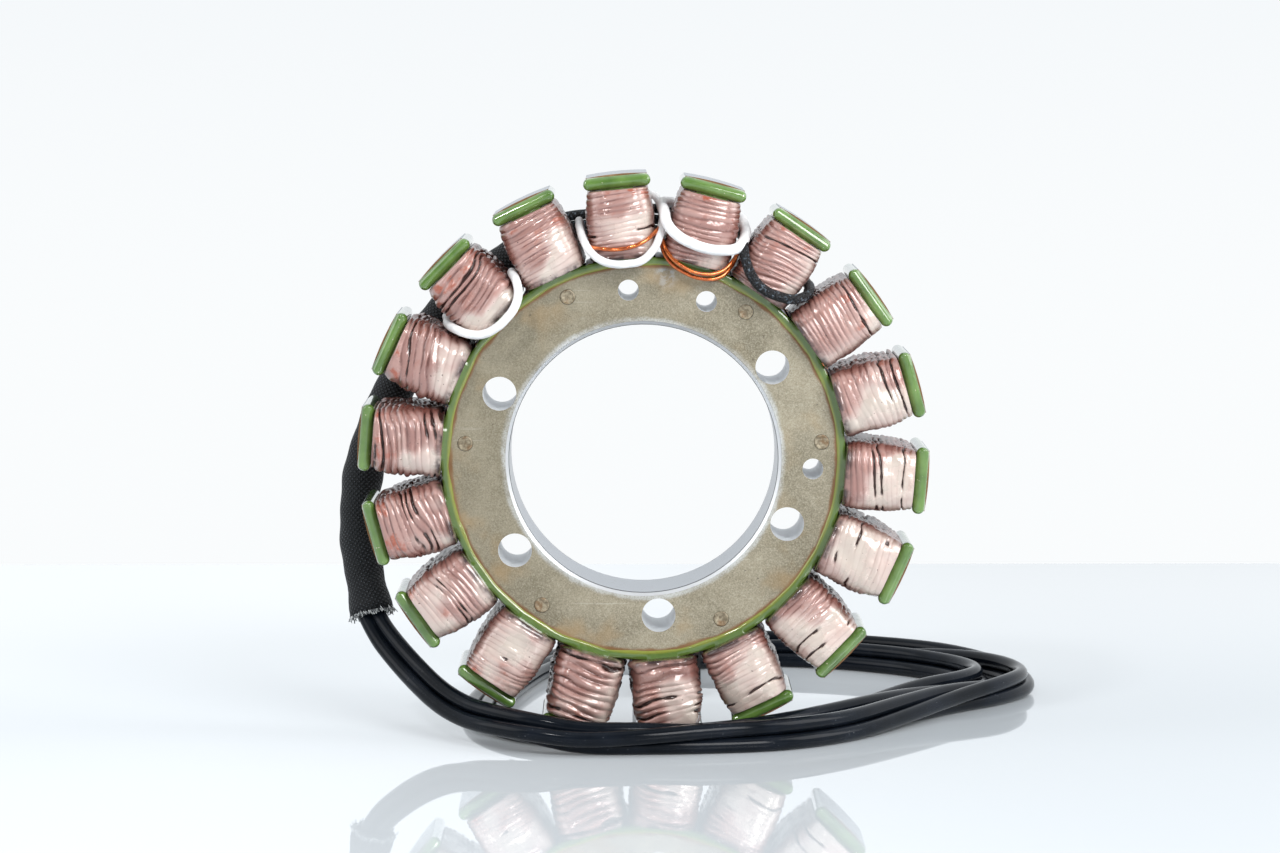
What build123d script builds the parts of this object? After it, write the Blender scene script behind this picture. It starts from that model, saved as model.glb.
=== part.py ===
"""Wound stator of a small alternator, standing on its rim beside its own harness.

The axis of the bore is Y, the front face looks towards -Y, and +Z is up. The origin is the centre of the
bore, half way along the stack. Pole angles are counted anticlockwise from +X as seen from the front.
All sizes are in millimetres.
"""

import os
from math import cos, radians, sin, tan

from build123d import *

# Core
STACK_LENGTH = 22.0
BORE_RADIUS = 27.75
BORE_CHAMFER = 0.8
YOKE_RADIUS = 41.2
SHOE_RADIUS = 59.0
POLE_COUNT = 18
FIRST_POLE_ANGLE = 95.5
TOOTH_WIDTH = 5.5
SHOE_WIDTH = 12.6
SHOE_EDGE_THICKNESS = 1.5
SHOE_THICKNESS = 2.6

# Holes and rivets in the yoke
BOLT_HOLE_RADIUS = 3.5
BOLT_HOLE_INSET = 4.85
BOLT_HOLE_ANGLES = (35.5, 155.5, 215.5, 275.5, 335.5)
SMALL_HOLE_RADIUS = 2.15
SMALL_HOLE_INSET = 6.2
SMALL_HOLE_ANGLES = (95.1, 68.3, -3.4)
RIVET_RADIUS = 1.65
RIVET_SIDES = 12
RIVET_FIT = 0.01
RIVET_INSET = 4.3
RIVET_ANGLES = (5.4, 55.3, 115.0, 175.0, 235.3, 295.8)

# Insulating coat
COAT_THICKNESS = 0.5
COAT_RIM_WIDTH = 1.0
COAT_RIM_HEIGHT = 0.4
CAP_HEIGHT = 1.3
CAP_CHAMFER = 0.6

# Coils
TURNS_PER_LAYER = 10
TURN_DEPTH = 0.4
COIL_FILL = 0.864
COIL_OUTER_TAPER = 0.85
COIL_INNER_ROUNDING = 1.1
COIL_INNER_GAP = 0.2
COIL_CORNER_SHARE = 0.75
COIL_END_CORNER_SHARE = 0.9

# Crossovers, leads and ties
CROSSOVER_WIDTH = 0.8
CROSSOVER_GAP = 60.0
LEAD_RADIUS = 1.05
LEAD_CLEARANCE = 0.1
LEAD_LEVEL = 0.62
TIE_RADIUS = 0.95
BRIGHT_WIRE_RADIUS = 0.45
REAR_CLEARANCE = 0.2

# Harness
SLEEVE_RADIUS = 4.3
WIRE_RADIUS = 1.65
WIRE_PITCH = 3.4
LOOP_WIDTH = 10.0
LOOP_LOW_HEIGHT = 2 * WIRE_RADIUS
LOOP_HEIGHT = 6.6

# Connector
CONNECTOR_WIDTH = 15.0
CONNECTOR_HEIGHT = 11.0
CONNECTOR_LENGTH = 24.0
CONNECTOR_WALL = 1.2
CONNECTOR_EDGE = 0.8
CAVITY_DEPTH = 14.0
BLADE_WIDTH = 2.8
BLADE_THICKNESS = 0.8
BLADE_LENGTH = 7.0
BLADE_PITCH = 4.2

POLE_PITCH = 360.0 / POLE_COUNT
HALF_STACK = STACK_LENGTH / 2
FLOOR = -SHOE_RADIUS
SHOE_ROOT_RADIUS = SHOE_RADIUS - SHOE_THICKNESS
BOLT_CIRCLE_RADIUS = BORE_RADIUS + BOLT_HOLE_INSET
SMALL_HOLE_CIRCLE_RADIUS = YOKE_RADIUS - SMALL_HOLE_INSET
RIVET_CIRCLE_RADIUS = YOKE_RADIUS - RIVET_INSET
BARE_RING_RADIUS = YOKE_RADIUS - COAT_RIM_WIDTH
COATED_TOOTH_WIDTH = TOOTH_WIDTH + 2 * COAT_THICKNESS
COATED_YOKE_RADIUS = YOKE_RADIUS + COAT_THICKNESS
COIL_INNER = COATED_YOKE_RADIUS + COIL_INNER_GAP
COIL_OUTER = SHOE_ROOT_RADIUS - COAT_THICKNESS
COIL_HALF_WIDTH = COIL_FILL * (COIL_INNER + COIL_OUTER) / 2 * tan(radians(POLE_PITCH / 2))
COAT_HALF_LENGTH = HALF_STACK + COAT_RIM_HEIGHT
COIL_HALF_LENGTH = COAT_HALF_LENGTH + COIL_HALF_WIDTH - COATED_TOOTH_WIDTH / 2
REAR_OF_COILS = COIL_HALF_LENGTH + REAR_CLEARANCE
LEAD_DEPTH = REAR_OF_COILS + LEAD_RADIUS
SLEEVE_DEPTH = REAR_OF_COILS + SLEEVE_RADIUS


def pole_angle(number):
    """Angle of a pole, counted clockwise from the top one, which is number 1."""
    return FIRST_POLE_ANGLE - (number - 1) * POLE_PITCH


def to_pole(shape, number):
    """Turns a shape that was made on an upright pole to the place of the numbered pole."""
    return Rot(0, 90 - pole_angle(number), 0) * shape


def point_at(number, across, depth, level):
    """A point beside the numbered pole's coil, in shares of the sizes round it.

    Across is 0 on the pole and 1 in the middle of the slot clockwise from it, depth is -1 on the front of
    the coils and 1 on their rear, and level is 0 at a coil's end by the yoke and 1 at its end by the shoe.
    """
    turn = radians(90 - pole_angle(number))
    radius = coil_level(level)
    along = across * radius * tan(radians(POLE_PITCH / 2))
    return (along * cos(turn) + radius * sin(turn), depth * COIL_HALF_LENGTH,
            radius * cos(turn) - along * sin(turn))


def coil_level(level):
    """The distance from the axis of a level: 0 is a coil's end by the yoke and 1 its end by the shoe."""
    return COIL_INNER + level * (COIL_OUTER - COIL_INNER)


def on_circle(radius, angles):
    """One place on the front face's plane for each angle."""
    return [Pos(radius * cos(radians(a)), radius * sin(radians(a))) for a in angles]


def through(sketch, half_length):
    """A prism of a sketch on the face's plane, as long in front of the mid plane as behind it."""
    return extrude(Plane.XZ * sketch, amount=half_length, both=True)


def union(shapes):
    """All the shapes joined."""
    first, *rest = shapes
    for shape in rest:
        first = first + shape
    return first


def pole_profile(margin):
    """One upright pole with its shoe, grown by a margin on the sides that face the slots."""
    half_shoe = SHOE_WIDTH / 2 + margin
    half_tooth = TOOTH_WIDTH / 2 + margin
    edge_level = (SHOE_RADIUS**2 - half_shoe**2) ** 0.5 - SHOE_EDGE_THICKNESS - margin
    root_level = SHOE_ROOT_RADIUS - margin
    top = SHOE_RADIUS + margin + 1
    outline = Polyline(
        (half_tooth, 0), (half_tooth, root_level), (half_shoe, edge_level), (half_shoe, top),
        (-half_shoe, top), (-half_shoe, edge_level), (-half_tooth, root_level), (-half_tooth, 0), close=True,
    )
    return make_face(outline) & Circle(SHOE_RADIUS)


def star_profile(margin):
    """The yoke, which is flat at the bottom of each slot, with all its poles, grown by a margin."""
    slot_turn = FIRST_POLE_ANGLE - POLE_PITCH / 2
    yoke = RegularPolygon(YOKE_RADIUS + margin, POLE_COUNT, major_radius=False, rotation=slot_turn)
    turns = [i * POLE_PITCH + FIRST_POLE_ANGLE - 90 for i in range(POLE_COUNT)]
    return union([yoke] + [Rot(0, 0, turn) * pole_profile(margin) for turn in turns])


def make_core():
    """The riveted stack of laminations: yoke, poles and shoes, with a chamfered bore."""
    profile = star_profile(0) - Circle(BORE_RADIUS)
    for place in on_circle(BOLT_CIRCLE_RADIUS, BOLT_HOLE_ANGLES):
        profile -= place * Circle(BOLT_HOLE_RADIUS)
    for place in on_circle(SMALL_HOLE_CIRCLE_RADIUS, SMALL_HOLE_ANGLES):
        profile -= place * Circle(SMALL_HOLE_RADIUS)
    for place in on_circle(RIVET_CIRCLE_RADIUS, RIVET_ANGLES):
        profile -= place * RegularPolygon(RIVET_RADIUS + RIVET_FIT, RIVET_SIDES)
    core = through(profile, HALF_STACK)
    bore_edges = core.edges().filter_by(GeomType.CIRCLE).filter_by(
        lambda e: abs(e.radius - BORE_RADIUS) < BORE_CHAMFER / 2)
    return chamfer(bore_edges, BORE_CHAMFER)


def make_rivets():
    """Rivets that fill their holes and end flush with both faces."""
    rivet = through(RegularPolygon(RIVET_RADIUS, RIVET_SIDES), HALF_STACK)
    return [Pos(place.position.X, 0, place.position.Y) * rivet
            for place in on_circle(RIVET_CIRCLE_RADIUS, RIVET_ANGLES)]


def make_cap():
    """The thick rounded coat on the front end of an upright pole's shoe, down to the steel."""
    face = pole_profile(COAT_THICKNESS)
    lower = SHOE_ROOT_RADIUS - COAT_THICKNESS
    face &= Pos(0, lower + SHOE_RADIUS) * Rectangle(3 * SHOE_WIDTH, 2 * SHOE_RADIUS)
    cap = Pos(0, -HALF_STACK, 0) * extrude(Plane.XZ * face, amount=CAP_HEIGHT)
    return chamfer(cap.faces().sort_by(Axis.Y)[0].edges(), CAP_CHAMFER)


def make_coat():
    """The insulating coat: a skin on the slots and the rim, with rounded caps on the shoes' ends."""
    skin = through(star_profile(COAT_THICKNESS), COAT_HALF_LENGTH)
    skin -= through(star_profile(0), HALF_STACK)
    skin -= through(Circle(BARE_RING_RADIUS), 2 * HALF_STACK)
    front_cap = make_cap()
    rear_cap = mirror(front_cap, about=Plane.XZ)
    caps = []
    for number in range(1, POLE_COUNT + 1):
        caps += [to_pole(front_cap, number), to_pole(rear_cap, number)]
    return skin.fuse(*caps).clean()


def coil_half_width(level):
    """Half the coil's width at a level along the pole, from -1 beside the yoke to 1 under the shoe."""
    taper = COIL_OUTER_TAPER * max(0.0, level) ** 2
    rounding = COIL_INNER_ROUNDING * max(0.0, -level) ** 6
    return COIL_HALF_WIDTH - taper - rounding


def coil_section(level, inset):
    """The eight-sided outline of the turns at a level, drawn in by an inset in the grooves between turns."""
    half_width = coil_half_width(level) - inset
    layer = half_width - COATED_TOOTH_WIDTH / 2
    half_length = COAT_HALF_LENGTH + layer
    corner = (COIL_CORNER_SHARE * layer, COIL_END_CORNER_SHARE * layer)
    quarter = [(half_width, half_length - corner[1]), (half_width - corner[0], half_length)]
    points = quarter + [(-x, y) for x, y in reversed(quarter)]
    points += [(-x, -y) for x, y in quarter] + [(x, -y) for x, y in reversed(quarter)]
    height = COIL_INNER + (level + 1) / 2 * (COIL_OUTER - COIL_INNER)
    return Pos(0, 0, height) * make_face(Polyline(*points, close=True))


def make_coil():
    """A coil on the upright pole: one ridge for each turn of the outer layer."""
    sections = []
    for step in range(2 * TURNS_PER_LAYER + 1):
        level = step / TURNS_PER_LAYER - 1
        sections.append(coil_section(level, TURN_DEPTH if step % 2 == 0 else 0))
    coil = loft(sections, ruled=True)
    tooth = Box(COATED_TOOTH_WIDTH, 2 * COAT_HALF_LENGTH, 2 * SHOE_RADIUS)
    return coil - tooth


def make_crossovers():
    """One wire for each phase, from coil to coil round the rear rim: two on the rim and one on both."""
    inner = BARE_RING_RADIUS + CROSSOVER_WIDTH / 2
    places = [(inner, 0), (inner + CROSSOVER_WIDTH, 0), (inner + CROSSOVER_WIDTH / 2, CROSSOVER_WIDTH)]
    side_turn = FIRST_POLE_ANGLE - POLE_PITCH / 2
    wires = []
    for phase, (radius, rise) in enumerate(places):
        outer_side, inner_side = radius + CROSSOVER_WIDTH / 2, radius - CROSSOVER_WIDTH / 2
        ring = RegularPolygon(outer_side, POLE_COUNT, major_radius=False, rotation=side_turn)
        ring -= RegularPolygon(inner_side, POLE_COUNT, major_radius=False, rotation=side_turn)
        reach = 2 * SHOE_RADIUS
        sector = Polyline((0, 0), (reach, 0), (reach, reach * tan(radians(CROSSOVER_GAP))), close=True)
        ring -= Rot(0, 0, pole_angle(1 + phase)) * make_face(sector)
        rear = COAT_HALF_LENGTH + rise + CROSSOVER_WIDTH
        wires.append(Pos(0, rear, 0) * extrude(Plane.XZ * ring, amount=CROSSOVER_WIDTH))
    return wires


def bent_rod(points, radius, sides=6):
    """A rod of few flat sides along short straight runs."""
    path = Polyline(*points)
    section = Plane(origin=path @ 0, z_dir=path % 0) * RegularPolygon(radius, sides)
    return sweep(section, path=path, transition=Transition.RIGHT)


def route_radii(points, closed=False):
    """The largest arc at each corner: 0.45 of the shorter run over the tangent of half its turn."""
    vectors = [Vector(*p) for p in points]
    count = len(vectors)
    corners = range(count) if closed else range(1, count - 1)
    radii = []
    for i in corners:
        back = vectors[i] - vectors[i - 1]
        ahead = vectors[(i + 1) % count] - vectors[i]
        turn = radians(back.get_angle(ahead))
        radii.append(0.45 * min(back.length, ahead.length) / tan(turn / 2))
    return radii


def swept(section, points, radii=None):
    """A section swept along straight runs that tangent arcs join, the largest ones if none are given."""
    path = FilletPolyline(*points, radius=radii or route_radii(points), close=False)
    return sweep(Plane(origin=path @ 0, z_dir=path % 0) * section, path=path)


def tie(number, front, rear):
    """A lacing tie round the inner end of a coil: a front and a rear line that meet in both slots."""
    halves = []
    for line in (front, rear):
        halves.append(bent_rod([point_at(number, *p) for p in line], TIE_RADIUS))
    return union(halves)


def tie_ends(left_level, right_level):
    """Where a tie passes the mid plane, in the slots left and right of its pole."""
    return (-1, 0, left_level), (1, 0, right_level)


def make_tie_17():
    """Round the coil of pole 17 and slantwise round the harness sleeve behind it."""
    left, right = tie_ends(0.479, 0.479)
    front = [left, (-1.0, -0.673, 0.479), (-0.993, -0.872, 0.393), (-0.843, -1.026, 0.179),
             (-0.570, -1.083, -0.007), (-0.139, -1.026, -0.071), (0.363, -1.032, -0.093),
             (0.765, -1.013, -0.029), (0.973, -0.936, 0.214), (0.998, -0.744, 0.486), right]
    back = (SLEEVE_DEPTH + SLEEVE_RADIUS + TIE_RADIUS + REAR_CLEARANCE) / COIL_HALF_LENGTH
    rear = [right, (0.986, 0.731, 0.500), (0.905, 0.897, 0.721), (0.668, 1.186, 0.886),
            (0.473, 1.474, 0.857), (0.276, back, 0.679), (-0.302, back, 0.364), (-0.575, 1.487, 0.179),
            (-0.874, 1.212, 0.114), (-1.015, 1.0, 0.279), (-1.0, 0.731, 0.479), left]
    return tie(17, front, rear)


def make_tie_1():
    """Round the coil of pole 1 and slantwise over the three leads behind it."""
    left, right = tie_ends(0.500, 0.543)
    front = [left, (-0.997, -0.673, 0.500), (-0.949, -0.872, 0.421), (-0.709, -1.103, 0.207),
             (-0.351, -1.122, 0.007), (0.055, -1.083, -0.057), (0.459, -1.122, 0.007),
             (0.753, -1.109, 0.236), (0.957, -0.885, 0.479), (0.997, -0.673, 0.543), right]
    back = (LEAD_DEPTH + LEAD_RADIUS + TIE_RADIUS + REAR_CLEARANCE) / COIL_HALF_LENGTH
    rear = [right, (0.994, 0.731, 0.571), (0.927, 0.872, 0.679), (0.793, 1.026, 0.786),
            (0.603, 1.199, 0.771), (0.335, back, 0.636), (-0.414, back, 0.236), (-0.812, 1.141, 0.100),
            (-0.984, 0.974, 0.136), (-1.018, 0.808, 0.350), (-0.999, 0.667, 0.493), left]
    return tie(1, front, rear)


def make_tie_2():
    """Round the coil of pole 2 and over the lead behind it."""
    left, right = tie_ends(0.707, 0.707)
    front = [left, (-0.996, -0.673, 0.707), (-0.949, -0.872, 0.636), (-0.691, -1.051, 0.407),
             (-0.321, -1.083, 0.293), (0.075, -1.083, 0.250), (0.444, -1.083, 0.293),
             (0.733, -1.019, 0.436), (0.938, -0.865, 0.636), (0.996, -0.673, 0.707), right]
    back = (LEAD_DEPTH + LEAD_RADIUS + TIE_RADIUS + REAR_CLEARANCE) / COIL_HALF_LENGTH
    rear = [right, (0.992, 0.731, 0.721), (0.888, 0.936, 0.793), (0.647, 1.179, 0.764),
            (0.335, back, 0.636), (-0.335, back, 0.636), (-0.647, 1.179, 0.764), (-0.846, 0.936, 0.836),
            (-0.945, 0.808, 0.779), (-0.994, 0.705, 0.714), left]
    return tie(2, front, rear)


def at_angle(angle, depth, radius):
    """A point at an angle round the axis, with its depth as a share of the coils' half length."""
    return (radius * cos(radians(angle)), depth * COIL_HALF_LENGTH, radius * sin(radians(angle)))


def mouth_run(offset):
    """The last straight run of a lead into the mouth of the harness sleeve."""
    mouth = Vector(*SLEEVE_ROUTE[0])
    ahead = (Vector(*SLEEVE_ROUTE[1]) - mouth).normalized()
    outward = Vector(0, 1, 0).cross(ahead)
    end = mouth + outward * offset
    return [tuple(end - ahead * 1.4 * SLEEVE_RADIUS), tuple(end)]


def make_leads():
    """The three insulated leads. The first one also crosses the front of pole 3, from slot to slot."""
    spacing = 2 * LEAD_RADIUS + LEAD_CLEARANCE
    outer = coil_level(LEAD_LEVEL)
    middle, inner = outer - spacing, outer - 2 * spacing
    back = LEAD_DEPTH / COIL_HALF_LENGTH
    crossing = [(1.0, 0.865, 0.507), (1.0, -0.673, 0.507), (0.993, -0.872, 0.393),
                (0.794, -1.026, 0.221), (0.468, -1.080, 0.121), (0.053, -1.080, 0.079),
                (-0.351, -1.080, 0.121), (-0.712, -1.038, 0.250), (-0.969, -0.865, 0.436),
                (-1.0, -0.673, 0.507), (-1.0, 0.769, 0.507)]
    rear = [(67.0, 0.987, outer), (70.0, back, outer), (80.0, back, outer), (90.0, back, outer),
            (101.0, back, outer)]
    routes = {"a": [point_at(3, *p) for p in crossing] + [at_angle(*p) for p in rear] + mouth_run(spacing)}
    for name, radius, offset in (("b", middle, 0), ("c", inner, -spacing)):
        line = [(85.5, 0.86, radius), (86.5, 1.0, radius), (89.5, back, radius), (95.0, back, radius),
                (101.0, back, radius)]
        routes[name] = [at_angle(*p) for p in line] + mouth_run(offset)
    return {f"phase_lead_{name}": bent_rod(route, LEAD_RADIUS) for name, route in routes.items()}


def make_bright_wires():
    """The bare enamelled ends of the windings that cross the front of poles 1 and 2."""
    front_1 = [(-1.0, 0.513, 0.307), (-1.0, -0.692, 0.307), (-0.928, -0.840, 0.236),
               (-0.539, -1.035, 0.164), (0, -1.035, 0.136), (0.532, -1.035, 0.207),
               (0.873, -0.872, 0.350), (0.999, -0.692, 0.414), (0.999, 0.513, 0.414)]
    front_2 = [(-0.999, 0.513, 0.343), (-0.999, -0.692, 0.343), (-0.954, -0.846, 0.193),
               (-0.726, -0.936, 0.021), (-0.279, -0.981, -0.093), (0.282, -0.981, -0.121),
               (0.763, -0.936, -0.021), (0.958, -0.846, 0.179), (1.0, -0.692, 0.357),
               (1.0, 0.513, 0.357)]
    front_3 = [(-1.0, 0.513, 0.271), (-1.0, -0.692, 0.271), (-0.954, -0.808, 0.107),
               (-0.719, -0.878, -0.064), (-0.272, -0.910, -0.164), (0.318, -0.910, -0.193),
               (0.800, -0.878, -0.107), (0.976, -0.795, 0.079), (1.001, -0.692, 0.279),
               (1.001, 0.513, 0.279)]
    pole_2 = [bent_rod([point_at(2, *p) for p in line], BRIGHT_WIRE_RADIUS) for line in (front_2, front_3)]
    return {
        "bright_wire_01": bent_rod([point_at(1, *p) for p in front_1], BRIGHT_WIRE_RADIUS),
        "bright_wires_02": pole_2,
    }


SLEEVE_ROUTE = [
    (-22.5, SLEEVE_DEPTH, 42.9), (-33.6, SLEEVE_DEPTH, 36.0), (-43.9, SLEEVE_DEPTH, 27.0),
    (-52.8, SLEEVE_DEPTH, 12.8), (-58.8, SLEEVE_DEPTH, -1.0), (-60.6, SLEEVE_DEPTH - 0.6, -12.4),
    (-60.2, SLEEVE_DEPTH - 1.9, -23.8), (-57.6, SLEEVE_DEPTH - 5.1, -35.3),
]

# Where the bundle of wires lands on the floor and the loop begins
LANDING = (-13.0, -26.5)
BUNDLE_HEIGHT = WIRE_RADIUS + WIRE_PITCH / (2 * 3**0.5)

# The loop on the floor, as (along X, along Y): the first turn, the second turn and the run to the connector
FIRST_TURN = [
    LANDING, (0.0, -26.4), (14.0, -24.0), (28.0, -19.8), (41.5, -8.0), (53.0, 9.0), (65.5, 27.0),
    (78.0, 42.0), (85.5, 59.0), (85.0, 77.0), (74.5, 92.0), (57.0, 101.5), (38.0, 108.0), (20.0, 115.0),
    (3.0, 120.0), (-11.0, 117.0),
]
SECOND_TURN = [
    (-1.0, -20.8), (16.0, -20.4), (29.5, -13.2), (41.0, 0.5), (51.5, 16.0), (62.0, 33.0), (72.5, 46.5),
    (79.5, 62.0), (76.0, 79.0), (64.0, 90.0), (46.0, 97.0), (27.0, 103.0), (9.0, 111.0), (-5.0, 113.0),
    (-17.0, 103.0), (-25.0, 83.0), (-30.0, 59.0), (-33.5, 35.0), (-35.0, 12.0), (-34.0, -3.5),
    (-29.5, -13.5), (-21.0, -17.3), (-13.2, -17.6),
]
TAIL = [(48.0, 98.0), (33.0, 101.5), (19.0, 101.5), (9.5, 96.0), (5.5, 86.5), (5.5, 75.0)]


def wire_middle():
    """The middle line of the three wires, from the sleeve's end to the loop."""
    end = Vector(*SLEEVE_ROUTE[-1])
    out = (end - Vector(*SLEEVE_ROUTE[-2])).normalized()
    landing = Vector(*LANDING, FLOOR + BUNDLE_HEIGHT)
    along = (Vector(*FIRST_TURN[1]) - Vector(*FIRST_TURN[0])).normalized()
    between = [(-53.9, 9.2, -44.4), (-50.2, 3.2, -46.4), (-45.3, -4.9, -48.2), (-39.6, -12.6, -49.9),
               (-32.5, -19.9, -52.0)]
    points = [end, end + out * 6.0] + [Vector(*p) for p in between] + [landing - along * 10.0, landing]
    return [tuple(p) for p in points]


def beside(points, radii, across, above):
    """A line that stays at one distance beside another, with its arcs about the same centres.

    Across and above are measured at the last point.
    """
    line = [Vector(*p) for p in reversed(points)]
    ahead = (line[1] - line[0]).normalized()
    side = Vector(0, 0, 1).cross(ahead).normalized()
    offset = side * across + ahead.cross(side) * above
    moved, arcs = [line[0] + offset], []
    for i in range(1, len(line) - 1):
        onward = (line[i + 1] - line[i]).normalized()
        cut = (ahead + onward).normalized()
        arcs.append(radii[-i] - offset.dot((onward - ahead).normalized()))
        offset = offset - ahead * (offset.dot(cut) / ahead.dot(cut))
        moved.append(line[i] + offset)
        offset = offset - onward * offset.dot(onward)
        ahead = onward
    moved.append(line[-1] + offset)
    return [tuple(p) for p in reversed(moved)], arcs[::-1]


WIRE_PLACES = [
    (WIRE_PITCH / 2, -WIRE_PITCH / (2 * 3**0.5)),
    (-WIRE_PITCH / 2, -WIRE_PITCH / (2 * 3**0.5)),
    (0.0, WIRE_PITCH / 3**0.5),
]


def floor_band(points, height, closed=False):
    """The outer shape of wires that lie side by side on the floor along a route."""
    section = Rectangle(LOOP_WIDTH, height)
    route = [(x, y, FLOOR + height / 2) for x, y in points]
    path = FilletPolyline(*route, radius=route_radii(route, closed), close=closed)
    plane = Plane(origin=path @ 0, x_dir=(path % 0).cross(Vector(0, 0, 1)), z_dir=path % 0)
    return sweep(plane * section, path=path)


def make_loop():
    """The outer shape of the two turns on the floor, with the run that leads to the connector."""
    return union([
        floor_band(SECOND_TURN, LOOP_LOW_HEIGHT, closed=True),
        floor_band(FIRST_TURN, LOOP_HEIGHT),
        floor_band(TAIL, LOOP_LOW_HEIGHT),
    ])


def make_connector():
    """The housing on the end of the wires, open to the front, and the blades that stand in it."""
    x, rear = TAIL[-1]
    place = Pos(x, rear - CONNECTOR_LENGTH / 2, FLOOR + CONNECTOR_HEIGHT / 2)
    housing = Box(CONNECTOR_WIDTH, CONNECTOR_LENGTH, CONNECTOR_HEIGHT)
    housing = chamfer(housing.edges().filter_by(Axis.Y), CONNECTOR_EDGE)
    bottom = CAVITY_DEPTH - CONNECTOR_LENGTH / 2
    cavity = Box(CONNECTOR_WIDTH - 2 * CONNECTOR_WALL, CAVITY_DEPTH, CONNECTOR_HEIGHT - 2 * CONNECTOR_WALL)
    housing -= Pos(0, bottom - CAVITY_DEPTH / 2, 0) * cavity
    latch = Box(CONNECTOR_WIDTH / 3, CONNECTOR_LENGTH / 2, 2 * CONNECTOR_EDGE)
    latch = chamfer(latch.edges().filter_by(Axis.X).group_by(Axis.Z)[-1], CONNECTOR_EDGE)
    housing += Pos(0, 0, CONNECTOR_HEIGHT / 2 + CONNECTOR_EDGE) * latch
    blade = Box(BLADE_WIDTH, BLADE_LENGTH, BLADE_THICKNESS)
    blades = [place * Pos(i * BLADE_PITCH, bottom - BLADE_LENGTH / 2, 0) * blade for i in (-1, 0, 1)]
    return place * housing, blades


def print_radii(name, points, closed=False):
    """Prints the arcs of a route."""
    print(name, "radii", [round(r, 1) for r in route_radii(points, closed)])


def build():
    """Every piece, by its name."""
    parts = {"core_laminations": make_core(), "insulation_coat": make_coat(), "core_rivets": make_rivets()}
    coil = make_coil()
    for number in range(1, POLE_COUNT + 1):
        parts[f"coil_{number:02d}"] = to_pole(coil, number)
    parts["crossover_wires"] = make_crossovers()
    parts |= {"tie_pole_17": make_tie_17(), "tie_pole_01": make_tie_1(), "tie_pole_02": make_tie_2()}
    parts |= make_leads() | make_bright_wires()
    print_radii("harness_sleeve", SLEEVE_ROUTE)
    parts["harness_sleeve"] = swept(RegularPolygon(SLEEVE_RADIUS, 10), SLEEVE_ROUTE)
    middle = wire_middle()
    for i, place in enumerate(WIRE_PLACES):
        route, arcs = beside(middle, route_radii(middle, False), *place)
        print(f"output_wire_{i + 1} radii", [round(r, 1) for r in arcs])
        parts[f"output_wire_{i + 1}"] = swept(RegularPolygon(WIRE_RADIUS, 6), route, radii=arcs)
    print_radii("first turn", [(x, y, 0) for x, y in FIRST_TURN])
    print_radii("second turn", [(x, y, 0) for x, y in SECOND_TURN], closed=True)
    print_radii("tail", [(x, y, 0) for x, y in TAIL])
    parts["wire_loop"] = make_loop()
    parts["connector_housing"], parts["connector_terminals"] = make_connector()
    return parts


os.makedirs("parts", exist_ok=True)
for node, shape in build().items():
    solids = shape if isinstance(shape, list) else [shape]
    export_step(Compound(children=solids) if len(solids) > 1 else solids[0], f"parts/{node}.step")
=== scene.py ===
"""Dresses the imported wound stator: riveted core with painted poles, glazed coils, ties, leads and harness.

The bore's axis is Y, the front face looks towards -Y and +Z is up. Sizes in tables are in millimetres.
"""

import math
import random

import bmesh
import bpy
from bpy.props import FloatProperty, FloatVectorProperty, IntProperty, PointerProperty
from mathutils import Matrix, Vector


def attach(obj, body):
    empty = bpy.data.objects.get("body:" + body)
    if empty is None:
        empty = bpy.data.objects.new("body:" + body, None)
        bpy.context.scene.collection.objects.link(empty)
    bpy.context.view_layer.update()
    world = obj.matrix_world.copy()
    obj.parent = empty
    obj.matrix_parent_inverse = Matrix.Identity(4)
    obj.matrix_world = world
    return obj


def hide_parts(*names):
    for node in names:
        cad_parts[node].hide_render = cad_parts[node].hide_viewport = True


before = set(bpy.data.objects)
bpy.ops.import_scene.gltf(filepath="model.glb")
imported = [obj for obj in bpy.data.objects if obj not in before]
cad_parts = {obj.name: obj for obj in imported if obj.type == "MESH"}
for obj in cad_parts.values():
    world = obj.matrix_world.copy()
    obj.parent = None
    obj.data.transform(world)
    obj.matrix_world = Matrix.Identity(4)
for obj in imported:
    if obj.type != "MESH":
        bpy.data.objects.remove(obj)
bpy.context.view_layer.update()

bl_info = {
    "name": "Wound stator",
    "version": (1, 0, 0),
    "blender": (4, 5, 0),
    "location": "View3D > Sidebar > Stator",
    "description": "Makes the dressed wound stator, its harness and the stage round it",
    "category": "Object",
}

MM = 0.001
BODY = "root"

POLE_COUNT = 18
POLE_PITCH = 20.0
FIRST_POLE_ANGLE = 95.5
HALF_STACK = 11.0
FLOOR = -59.0
BORE_EDGE = 28.55
COIL_INNER = 41.9
COIL_OUTER = 55.9
COIL_HALF_LENGTH = 15.6
SLEEVE_RADIUS = 4.3
WIRE_RADIUS = 1.65
WIRE_PITCH = 3.4
LEAD_DEPTH = 16.85
LEAD_RADIUS = 1.05

COLOUR = {"subtype": "COLOR", "size": 3, "min": 0.0, "max": 1.0}


class CoreSettings(bpy.types.PropertyGroup):
    """Colours of the steel and of the paint on it."""

    face_colour: FloatVectorProperty(
        name="Face colour", description="Oxidised steel of the flat faces where it is palest",
        **COLOUR, default=(0.35, 0.31, 0.222))
    steel_colour: FloatVectorProperty(
        name="Steel colour", description="Ground steel of the bore and the pole shoes",
        **COLOUR, default=(0.60, 0.62, 0.65))
    paint_colour: FloatVectorProperty(
        name="Paint colour", description="Insulating paint on the poles where it is palest",
        **COLOUR, default=(0.140, 0.255, 0.055))
    cap_height: FloatProperty(
        name="Cap height", description="How far the paint stands out on the ends of a pole shoe",
        subtype="DISTANCE", unit="LENGTH", min=0.0, default=1.3 * MM)


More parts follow.
